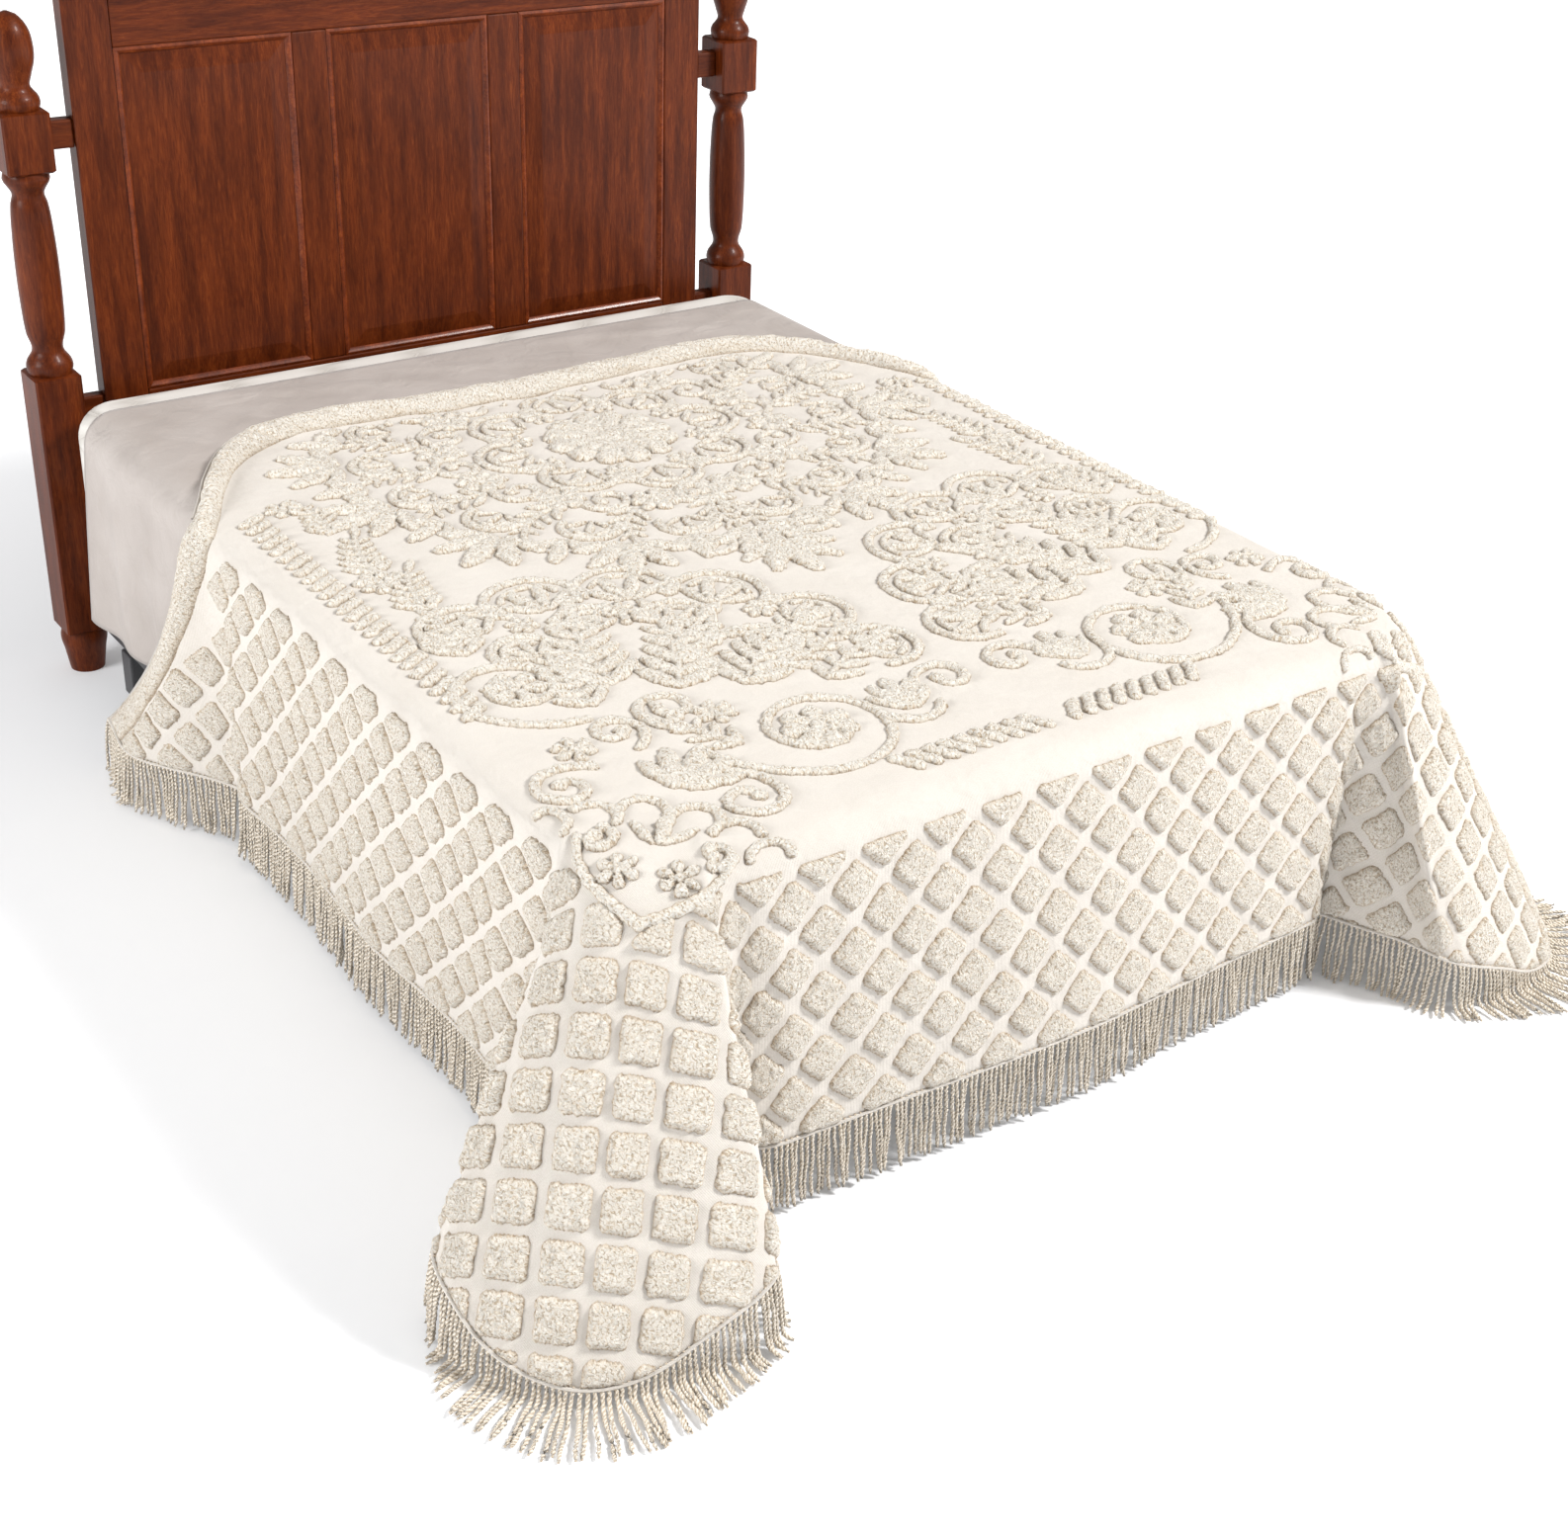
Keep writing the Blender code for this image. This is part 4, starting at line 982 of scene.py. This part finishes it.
def base_strips():
    """Grids of flat points that cover the cloth: top, foot, sides and corners."""
    full = CORNER_INSET + DROP
    reaches = np.linspace(0.0, 1.0, int(full / BASE_SPACING) + 1)
    shares = np.linspace(0.0, 1.0, int((HEAD_AT_EDGE - PIVOT_V) / BASE_SPACING) + 1)
    columns = np.linspace(-PIVOT_U, PIVOT_U, int(2 * PIVOT_U / BASE_SPACING) + 1)[:, None]
    yield columns, PIVOT_V + shares * (head_hem(columns) - PIVOT_V)
    yield columns, PIVOT_V - full * reaches
    reach = full * reaches
    rows = shares[:, None]
    angles = np.linspace(0.0, math.pi / 2, CORNER_RAYS)[:, None]
    ray = reach_to_hem(angles) * reaches
    for sign in (-1, 1):
        v_ray = PIVOT_V + rows * (HEAD_AT_EDGE - PIVOT_V)
        opened = v_ray + fan_shift(v_ray, fan_share(reach))
        on_top = PIVOT_V + rows * (head_hem(PIVOT_U + reach) - PIVOT_V)
        yield sign * (PIVOT_U + reach), np.where(reach <= CORNER_INSET, on_top, opened)
        yield sign * (PIVOT_U + ray * np.cos(angles)), PIVOT_V - ray * np.sin(angles)


def build_base(material):
    """The woven sheet itself: its strips joined where they share points, then given thickness."""
    known = {}
    faces = []
    for strip in base_strips():
        u, v = np.broadcast_arrays(*strip)
        keys = [(round(float(a), 5), round(float(b), 5)) for a, b in zip(u.ravel(), v.ravel())]
        for key, *exact in zip(keys, u.ravel(), v.ravel()):
            known.setdefault(key, (len(known), exact))
        numbers = np.array([known[key][0] for key in keys]).reshape(u.shape)
        flat = np.array([exact for _, exact in known.values()])
        for quad in grid_quads(numbers).tolist():
            ring = list(dict.fromkeys(quad))
            if len(ring) < 3:
                continue
            (x, y), (after_x, after_y) = flat[ring].T, flat[ring[1:] + ring[:1]].T
            faces.append(ring if np.sum(x * after_y - after_x * y) > 0 else ring[::-1])
    u, v = flat.T
    height = BASE_OFFSET + noise_layers(u, v, BASE_PUCKERS) + crease_lift(u, v)
    points = on_bed(u, v) + facing(u, v) * height[:, None]
    mesh = bpy.data.meshes.new("bedspread_cloth")
    mesh.from_pydata(points.tolist(), [], faces)
    set_flat(mesh, flat[np.concatenate(faces)])
    cloth = add_piece("bedspread_cloth", mesh, material)
    thicken(cloth, BASE_THICKNESS)
    return cloth


# -------- hem and fringe

def hem_flat(inset=0.0):
    """Flat points along the hem from the left head corner round the foot to the right one."""
    full = CORNER_INSET + DROP - inset
    rays = np.linspace(HEAD_AT_EDGE - 0.001, PIVOT_V, HEM_POINTS)
    side = np.stack([np.full(len(rays), PIVOT_U + full), rays + fan_shift(rays)], axis=1)
    angles = np.linspace(0.0, math.pi / 2, HEM_CORNER_POINTS)[1:]
    ray = reach_to_hem(angles) - inset
    corner = np.stack([PIVOT_U + ray * np.cos(angles), PIVOT_V - ray * np.sin(angles)], axis=1)
    columns = np.linspace(PIVOT_U, 0.0, HEM_FOOT_POINTS)[1:]
    foot = np.stack([columns, np.full(len(columns), PIVOT_V - full)], axis=1)
    right = np.concatenate([side, corner, foot])
    left = right * (-1.0, 1.0)
    return np.concatenate([left, right[::-1][1:]])


def along_hem(pitch):
    """Points at an even pitch along the draped hem, with their downward, outward and onward directions."""
    edge = hem_flat()
    inner = hem_flat(HEM_SLOPE)
    points = on_bed(edge[:, 0], edge[:, 1])
    above = on_bed(inner[:, 0], inner[:, 1])
    run = run_along(points)
    stations = np.arange(pitch / 2, run[-1], pitch)

    def read(values):
        return np.stack([np.interp(stations, run, values[:, k]) for k in range(3)], axis=1)

    down = unit(read(points) - read(above))
    course = unit(np.gradient(read(points), axis=0))
    outwards = unit(np.stack([course[:, 1], -course[:, 0], 0 * course[:, 0]], axis=1))
    return read(points), down, outwards, course


def cord_paths():
    """Centre points of every cord, ring by ring: they hang, gather at the tips, and lie out on the floor."""
    points, down, outwards, course = along_hem(CORD_PITCH)
    count = len(points)
    clump = np.cumsum(RNG.random(count) < CLUMP_CHANCE)
    middle = np.zeros(count)
    for number in np.unique(clump):
        members = np.nonzero(clump == number)[0]
        middle[members] = members.mean()
    to_middle = np.clip(middle - np.arange(count), -CLUMP_REACH, CLUMP_REACH) * CORD_PITCH
    gather = to_middle * RNG.uniform(0.25, 0.6, count)
    lean = RNG.normal(0.0, LEAN_SPREAD, count) + CORD_LEAN
    sway = RNG.normal(0.0, SWAY_SPREAD, count)
    phase = RNG.uniform(0, TURN, count)
    length = CORD_LENGTH * RNG.uniform(0.95, 1.02, count)
    rings = int(CORD_LENGTH / CORD_STEP) + 1
    step = (length / (rings - 1))[:, None]
    here = points - down * CORD_UNDER_HEM
    heading = down
    rows = [here]
    layer = np.arange(count) % 2
    level = unit(outwards + course * (sway * 1.5)[:, None])
    for ring in range(1, rings):
        share = ring / (rings - 1)
        pull = np.array([0.0, 0.0, -1.0]) + outwards * lean[:, None] + course * (sway * share)[:, None]
        heading = unit(heading * CORD_STIFFNESS + unit(pull) * (1 - CORD_STIFFNESS))
        floor = CORD_WIDE * (0.90 + 1.0 * layer * min(share * 1.6, 1.0))
        flatten = clamp(1.0 - (here[:, 2] - floor) / FLOOR_EASE)[:, None]
        turned = unit(heading * (1 - flatten) + level * flatten + level * 1e-6)
        here = here + turned * step
        here = here + course * (CORD_RIPPLE * np.cos(phase + ring * 0.8) + gather / rings)[:, None]
        here[:, 2] = np.maximum(here[:, 2], floor)
        heading = np.where(flatten > 0, turned, heading)
        rows.append(here)
    return np.stack(rows), outwards


def build_fringe(material):
    """Every cord as a tube of six sides, a little flat, that turns as it runs."""
    rows, outwards = cord_paths()
    rings, count = rows.shape[:2]
    tangent = unit(np.gradient(rows, axis=0))
    side = unit(np.cross(tangent, outwards[None]) + np.array([1e-9, 0.0, 0.0]))
    front = unit(np.cross(side, tangent))
    spin = RNG.uniform(0, math.pi, count)
    vertices = np.empty((rings, count, CORD_SIDES, 3))
    for ring in range(rings):
        taper = 1.0 if 0 < ring < rings - 1 else CORD_TIP
        turned = spin + ring * CORD_TWIST
        for k in range(CORD_SIDES):
            angle = TURN * k / CORD_SIDES
            wide = CORD_WIDE * taper * math.cos(angle)
            narrow = CORD_NARROW * taper * math.sin(angle)
            a = (wide * np.cos(turned) - narrow * np.sin(turned))[:, None]
            b = (wide * np.sin(turned) + narrow * np.cos(turned))[:, None]
            vertices[ring, :, k] = rows[ring] + side[ring] * a + front[ring] * b
    points = vertices.reshape(-1, 3)
    points[:, 2] = np.maximum(points[:, 2], FLOOR_SKIN)
    numbers = np.arange(rings * count * CORD_SIDES).reshape(rings, count, CORD_SIDES)
    first, last = numbers[0], numbers[-1]
    ends = [first[:, [3, 2, 1, 0]], first[:, [5, 4, 3, 0]], last[:, [0, 1, 2, 3]], last[:, [0, 3, 4, 5]]]
    outward = [0, 3, 2, 1]
    quads = np.concatenate([ring_quads(numbers), *ends])[:, outward]

    # Flat coordinates: round the cord one way, its plies to a turn, and along it the other
    ring, which, k = np.indices((rings - 1, count, CORD_SIDES))
    low = which * CORD_APART + k * CORD_FACE
    high = low + CORD_FACE
    near = ring * CORD_STEP
    far = near + CORD_STEP
    corners = [np.stack(corner, axis=-1) for corner in ((low, near), (low, far), (high, far), (high, near))]
    walls = np.stack(corners, axis=-2).reshape(-1, 4, 2)
    flat = np.concatenate([walls, np.zeros((len(ends) * count, 4, 2))])
    piece = quad_piece("fringe_cords", points, quads, flat, material)
    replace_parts(piece, "fringe")
    return piece


def hem_tube(name, u, v, normals, material):
    """A round roll along an open line of flat points."""
    points = on_bed(u, v)
    tangent = unit(np.gradient(points, axis=0))
    front = unit(normals - tangent * np.sum(normals * tangent, axis=1, keepdims=True))
    side = np.cross(tangent, front)
    run = run_along(points)
    rings = []
    flat = []
    for k in range(HEM_SIDES):
        angle = TURN * k / HEM_SIDES
        rings.append(points + HEM_ROLL * (math.cos(angle) * front + math.sin(angle) * side))
        flat.append(np.stack([np.full(len(points), HEM_GIRTH * k / HEM_SIDES), run], axis=1))
    quads = ring_quads(np.arange(len(points) * HEM_SIDES).reshape(len(points), HEM_SIDES))
    vertices = np.stack(rings, axis=1).reshape(-1, 3)
    return quad_piece(name, vertices, quads, np.stack(flat, axis=1).reshape(-1, 2), material)


def build_hem(material):
    """Rolled hem: one length over the fringe's heading, one along the head end."""
    u, v = hem_flat()[::2].T
    low = hem_tube("hem_roll", u, v, facing(u, v), material)
    columns = np.linspace(-HALF_WIDTH, HALF_WIDTH, HEM_POINTS)
    ends = head_hem(columns)
    return low, hem_tube("head_hem_roll", columns, ends, facing(columns, ends - 0.002), material)


# -------- the bed

EDGE_RADIUS = 0.062
SHEET_START = 1.180
SHEET_END = 1.930
SHEET_BOTTOM = 0.175
SHEET_SKIN = 0.0012
SHEET_COLUMNS = 200
SHEET_ROWS = 60
FLARE = 0.022
FLARE_FROM = 0.45
FREE_FROM = 1.50
FREE_EASE = 0.12
CREASED_FROM = 1.46
CREASED_EASE = 0.10
SHEET_END_EASE = 0.03
SHEET_END_LIFT = 0.2
WAVE = 0.006
WAVE_PITCH = 0.17
STITCH_INSET = 0.030
STITCH_HALF = 0.004
STITCH_DEPTH = 0.0008
SHEET_CREASES = (
    # from across, from along, to across, to along, height, half width; across is 0 at the middle of the top
    (-0.66, 1.6, -0.4, 1.88, 0.0045, 0.016), (-0.6, 1.92, -0.1, 1.8, 0.004, 0.018),
    (-0.2, 1.9, 0.16, 1.76, 0.0035, 0.014), (0.1, 1.92, 0.52, 1.82, 0.0045, 0.018),
    (0.42, 1.76, 0.7, 1.9, 0.0035, 0.013), (-0.74, 1.52, -0.58, 1.8, 0.003, 0.012),
    (-1.1, 1.6, -0.86, 1.66, 0.005, 0.02), (-1.12, 1.76, -0.8, 1.8, 0.0055, 0.022),
    (-1.1, 1.88, -0.82, 1.86, 0.0045, 0.018), (0.86, 1.66, 1.1, 1.58, 0.005, 0.02),
    (0.8, 1.8, 1.12, 1.74, 0.0055, 0.022),
)


def build_bed_sheet(material):
    """White sheet across the head end, with its creases and a broad stitched hem at both sides."""
    half = MATTRESS_WIDTH / 2 + GAP + SHEET_THICKNESS / 2
    top = MATTRESS_TOP + GAP + SHEET_THICKNESS / 2
    flat_half = half - EDGE_RADIUS
    bend = EDGE_RADIUS * math.pi / 2
    hang = top - EDGE_RADIUS - SHEET_BOTTOM
    total = flat_half + bend + hang
    columns = np.linspace(-total, total, SHEET_COLUMNS)
    s, v = np.meshgrid(columns, np.linspace(SHEET_START, SHEET_END, SHEET_ROWS), indexing="ij")
    far = np.abs(s)
    side = np.sign(s)
    angle = np.clip((far - flat_half) / EDGE_RADIUS, 0.0, math.pi / 2)
    fall = np.maximum(far - flat_half - bend, 0.0)
    share = (v - SHEET_START) / (SHEET_END - SHEET_START)
    flare = FLARE * np.maximum(share - FLARE_FROM, 0.0) / (1 - FLARE_FROM) * (fall / hang) ** 0.8
    free = clamp((v - FREE_FROM) / FREE_EASE)
    wave = WAVE * (fall / hang) * free * np.sin((v - FREE_FROM) * TURN / WAVE_PITCH + side)
    lift = crease_heights(s, v, SHEET_CREASES, 0.02, 0.5)
    lift = lift * clamp((v - CREASED_FROM) / CREASED_EASE)
    lift = lift * np.clip((SHEET_END - v) / SHEET_END_EASE, SHEET_END_LIFT, 1.0)
    stitch = STITCH_DEPTH * (np.abs(far - (total - STITCH_INSET)) < STITCH_HALF) * free
    reach = EDGE_RADIUS + lift - stitch
    x = side * (np.minimum(far, flat_half) + reach * np.sin(angle) + flare + np.maximum(wave, -flare))
    z = top - EDGE_RADIUS + reach * np.cos(angle) - fall
    points = np.stack([x + BED_MIDDLE, v + BED_FOOT, z], axis=-1).reshape(-1, 3)
    numbers = np.arange(s.size).reshape(s.shape)
    flat = np.stack([s, v], axis=-1).reshape(-1, 2)
    sheet = quad_piece("white_sheet", points, grid_quads(numbers), flat, material)
    thicken(sheet, SHEET_SKIN)
    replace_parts(sheet, "bed_sheet")


BLOCK_TURNS = 8
BLOCK_CORNER_STEPS = 14
BLOCK_GROOVE = ((0.010, 0.0), (0.013, 0.0022), (0.016, 0.0))


def build_block(name, node_name, edge, foot_radius, head_radius, material):
    """A quilted block like a mattress: rounded plan and edges, tape grooves near both faces."""
    low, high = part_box(node_name)
    bottom, top = low[2], high[2]
    width, length = high[0] - low[0], high[1] - low[1]
    levels = []
    for step in range(BLOCK_TURNS + 1):
        angle = math.pi / 2 * step / BLOCK_TURNS
        levels.append((edge * (1 - math.sin(angle)), bottom + edge * (1 - math.cos(angle))))
    levels += [(depth, bottom + edge + rise) for rise, depth in BLOCK_GROOVE]
    levels += [(inset, top - (z - bottom)) for inset, z in reversed(levels)]
    vertices = []
    flat = []
    for inset, z in levels:
        run = 0.0
        before = None
        for quarter, (sx, sy) in enumerate(((1, 0), (1, 1), (-1, 1), (-1, 0))):
            radius = (head_radius if sy else foot_radius) - inset
            middle = (sx * (width / 2 - inset - radius), length - inset - radius if sy else inset + radius)
            for step in range(BLOCK_CORNER_STEPS + 1):
                turn = math.radians(90 * (quarter - 1 + step / BLOCK_CORNER_STEPS))
                x, y = polar(*middle, radius, turn)
                run += math.dist(before, (x, y)) if before else 0.0
                before = (x, y)
                vertices.append((x + (low[0] + high[0]) / 2, y + low[1], z))
                flat.append((run, z))
    across = 4 * (BLOCK_CORNER_STEPS + 1)
    numbers = np.arange(len(vertices)).reshape(len(levels), across)
    k = np.arange(across // 2 - 1)
    caps = [np.stack([ring[k], ring[k + 1], ring[across - 2 - k], ring[across - 1 - k]], axis=1)
            for ring in (numbers[0], numbers[-1])]
    quads = np.concatenate([ring_quads(numbers), caps[0][:, ::-1], caps[1]])
    piece = quad_piece(name, np.array(vertices), quads, np.array(flat), material)
    piece.data.set_sharp_from_angle(angle=math.radians(50))
    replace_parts(piece, node_name)


MOULDING_PROFILE = (
    # inwards from the panel's edge, depth
    (0.000, 0.002), (0.000, -0.007), (0.005, -0.009), (0.010, -0.006), (0.013, -0.001), (0.017, 0.002),
)
MOULDING_BACK = 0.0085
POST_BLOCKS = ((0.090, 0.620), (1.000, 1.110))
POST_TURNINGS = (
    # height, radius
    ((0.0, 0.033), (0.04, 0.039), (0.08, 0.0435), (0.09, 0.04)),
    ((0.62, 0.04), (0.632, 0.043), (0.645, 0.04), (0.66, 0.03), (0.7, 0.0355), (0.76, 0.0385),
     (0.82, 0.039), (0.88, 0.0375), (0.94, 0.033), (0.962, 0.029), (0.974, 0.036), (0.985, 0.042),
     (1.0, 0.039)),
    ((1.11, 0.038), (1.12, 0.0415), (1.131, 0.04), (1.15, 0.027), (1.168, 0.031), (1.195, 0.039),
     (1.225, 0.04), (1.248, 0.0355), (1.266, 0.025), (1.276, 0.014), (1.28, 0.004)),
)
POST_STEP = 0.0065
POST_SIDES = 36
POST_CHAMFER = 0.0035


def ring_piece(name, runs, material, sharp, closed=False):
    """Wooden piece of walls between rings of points, smooth but for edges over so many degrees.

    Each run of rings is capped at both ends, or closed on itself.
    """
    bm = bmesh.new()
    for rings in runs:
        loops = [[bm.verts.new(point) for point in ring] for ring in rings]
        if closed:
            loops.append(loops[0])
        else:
            bm.faces.new(loops[0][::-1])
            bm.faces.new(loops[-1])
        for near, far in zip(loops, loops[1:]):
            for k in range(len(near)):
                after = (k + 1) % len(near)
                bm.faces.new([near[k], near[after], far[after], far[k]])
    bmesh.ops.recalc_face_normals(bm, faces=bm.faces)
    mesh = bpy.data.meshes.new(name)
    bm.to_mesh(mesh)
    bm.free()
    mesh.set_sharp_from_angle(angle=math.radians(sharp))
    return add_piece(name, mesh, material)


def build_moulding(name, node_name, material):
    """A small ogee frame in the corner between a panel and the wood round it."""
    low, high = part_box(node_name)
    rings = []
    for inset, depth in MOULDING_PROFILE:
        x0, x1 = low[0] + inset, high[0] - inset
        z0, z1 = low[2] + inset, high[2] - inset
        y = low[1] + MOULDING_BACK + depth
        rings.append([(x0, y, z0), (x1, y, z0), (x1, y, z1), (x0, y, z1)])
    ring_piece(name, [rings], material, sharp=30, closed=True)


def build_post(name, node_name, material):
    """A bed post: chamfered square blocks with smooth turnings between them."""
    low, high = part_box(node_name)
    x, y, half = (low[0] + high[0]) / 2, (low[1] + high[1]) / 2, (high[0] - low[0]) / 2
    runs = []
    turns = [TURN * k / POST_SIDES for k in range(POST_SIDES)]
    for rows in POST_TURNINGS:
        heights, radii = zip(*rows)
        tall = np.linspace(heights[0], heights[-1], int((heights[-1] - heights[0]) / POST_STEP) + 2)
        sizes = smooth_through(heights, radii, tall)
        runs.append([[(*polar(x, y, radius, turn), z) for turn in turns] for z, radius in zip(tall, sizes)])
    for bottom, top in POST_BLOCKS:
        rings = []
        for z, reach in ((bottom, half - POST_CHAMFER), (bottom + POST_CHAMFER, half),
                         (top - POST_CHAMFER, half), (top, half - POST_CHAMFER)):
            near = reach - POST_CHAMFER
            ring = ((reach, -near), (reach, near), (near, reach), (-near, reach),
                    (-reach, near), (-reach, -near), (-near, -reach), (near, -reach))
            rings.append([(x + a, y + b, z) for a, b in ring])
        runs.append(rings)
    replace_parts(ring_piece(name, runs, material, sharp=40), node_name)


def repaint(item, material):
    item.data.materials.clear()
    item.data.materials.append(material)


def dress_bed():
    """Covers, sheet, turned posts and mouldings, and finishes for the CAD nodes that show as they are."""
    ticking = make_ticking()
    upright = make_cherry("cherry_upright", (9.0, 9.0, 0.9))
    lying = make_cherry("cherry_lying", (0.9, 9.0, 9.0))
    # Painted highlight: the trim is a lighter, glossier copy of the cherry, its colours raised by half.
    trim = make_cherry("cherry_trim", (4.0, 9.0, 4.0), 0.20, 1.5)
    steel = make_steel()
    build_block("mattress_cover", "mattress", EDGE_RADIUS, 0.200, 0.080, ticking)
    build_block("box_spring_cover", "box_spring", 0.012, 0.060, 0.060, ticking)
    build_bed_sheet(make_sheeting())
    for name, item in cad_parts.items():
        if name.startswith("headboard"):
            is_lying = any(word in name for word in ("rail", "cap", "link"))
            repaint(item, lying if is_lying else upright)
        elif name.startswith(("side_rail", "cross_rail", "leg")):
            repaint(item, steel)
    for side in ("left", "right"):
        build_post(f"post_{side}", f"headboard_post_{side}", upright)
    for k in range(1, 4):
        build_moulding(f"panel_moulding_{k}", f"headboard_panel_{k}", trim)


# -------- floor, light and camera

FLOOR_HALF = 30.0
GLOW_DISTANCES = (1.6, 4.5)
GLOW_STRENGTHS = (0.11, 0.72)
LIGHTS = (
    # name, place, aim, size, watts, colour
    ("window_right", (6.1, -5.5, 8.2), (0.0, -0.3, 0.4), (2.0, 2.0), 1420.0, (1.0, 0.985, 0.960)),
    ("window_left", (-5.4, 0.25, 2.55), (-0.9, 0.0, 0.4), (2.4, 2.0), 212.0, (1.0, 0.990, 0.970)),
)
SKY_COLOUR = (0.985, 0.970, 0.950, 1.0)
SKY_STRENGTH = 0.47
CAMERA_FROM_CORNER = (-1.233, -2.083, 2.136)
CAMERA_AZIMUTH = math.radians(-37.27)
CAMERA_ELEVATION = math.radians(28.7)
CAMERA_ROLL = math.radians(2.96)
CAMERA_LENS = 52.4
CAMERA_SHIFT = (-0.040, -0.0145)


def build_floor():
    """Pale floor that glows a little more with distance, so that it fades to white."""
    mesh = bpy.data.meshes.new("floor")
    corners = [(x * FLOOR_HALF, y * FLOOR_HALF, 0.0) for x, y in ((-1, -1), (1, -1), (1, 1), (-1, 1))]
    mesh.from_pydata(corners, [], [(0, 1, 2, 3)])
    look = Look("pale_floor", 0.9, "Object", Specular_IOR_Level=0.1, Emission_Color=(*WHITE, 1.0))
    look.paint(look.ramp(look.noise(0.8), (0.3, (0.893, 0.912, 0.950)), (0.7, (0.903, 0.922, 0.957))))
    away = look.node("VectorMath", {0: look.where}, operation="LENGTH").outputs["Value"]
    ends = dict(enumerate((*GLOW_DISTANCES, *GLOW_STRENGTHS), 1))
    glow = look.node("MapRange", {"Value": away, **ends}).outputs[0]
    look.tree.links.new(glow, look.shader.inputs["Emission Strength"])
    mesh.materials.append(look.material)
    add_object("floor", mesh)


def build_lights():
    for name, location, target, size, watts, colour in LIGHTS:
        light = bpy.data.lights.new(name, "AREA")
        light.shape = "RECTANGLE"
        light.size, light.size_y = size
        light.energy = watts
        light.color = colour
        item = add_object(name, light)
        item.location = location
        aim = Vector(target) - Vector(location)
        item.rotation_euler = aim.to_track_quat("-Z", "Y").to_euler()
    world = bpy.data.worlds.new("studio")
    bpy.context.scene.world = world
    world.use_nodes = True
    background = world.node_tree.nodes["Background"]
    background.inputs["Color"].default_value = SKY_COLOUR
    background.inputs["Strength"].default_value = SKY_STRENGTH
    bpy.context.scene.view_settings.view_transform = "Standard"


def build_camera():
    """Stands off the left foot corner of the bed, looking down along it."""
    data = bpy.data.cameras.new("camera")
    data.sensor_fit = "HORIZONTAL"
    data.sensor_width = 36.0
    data.lens = CAMERA_LENS
    data.shift_x, data.shift_y = CAMERA_SHIFT
    data.clip_end = 100.0
    right = Vector((math.cos(CAMERA_AZIMUTH), math.sin(CAMERA_AZIMUTH), 0.0))
    level = Vector((right.y, -right.x, 0.0)) * math.cos(CAMERA_ELEVATION)
    back = level + Vector((0.0, 0.0, math.sin(CAMERA_ELEVATION)))
    up = back.cross(right)
    sine, cosine = math.sin(CAMERA_ROLL), math.cos(CAMERA_ROLL)
    matrix = Matrix((right * cosine + up * sine, up * cosine - right * sine, back)).transposed().to_4x4()
    matrix.translation = Vector((BED_MIDDLE - HALF_WIDTH, BED_FOOT, 0.0)) + Vector(CAMERA_FROM_CORNER)
    item = add_object("camera", data)
    item.matrix_world = matrix
    bpy.context.scene.camera = item


def build_spread():
    """The woven cloth with its lattice, scrollwork, hems and fringe."""
    ground = make_ground()
    # The last colour of each pile is its painted shade at the foot of the pile.
    deep_pile = make_pile("lattice_pile", 0.0075, (0.580, 0.470, 0.345), (0.890, 0.805, 0.690),
                          (1.000, 0.955, 0.882), (0.52, 0.42, 0.32))
    fine_pile = make_pile("scroll_pile", 0.0065, (0.580, 0.470, 0.345), (0.920, 0.850, 0.748),
                          (1.000, 0.976, 0.922), (0.36, 0.275, 0.195))
    draw_corner()
    draw_medallion()
    cloth = build_base(ground)
    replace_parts(cloth, "bedspread")
    lattice_cuts = (("lattice_left", -math.inf, -BAND_U), ("lattice_foot", -BAND_U, BAND_U),
                    ("lattice_right", BAND_U, math.inf))
    scroll_cuts = (("scrollwork_left", -math.inf, 0.0), ("scrollwork_right", 0.0, math.inf))
    pieces = pile_pieces(*LATTICE_AREA, LATTICE_SPACING, lattice_height, lattice_cuts, deep_pile)
    pieces += pile_pieces(*MOTIF_AREA, MOTIF_SPACING, motif_height, scroll_cuts, fine_pile)
    pieces += build_hem(ground)
    pieces.append(build_fringe(make_cord()))


build_camera()
build_lights()
build_floor()
dress_bed()
build_spread()
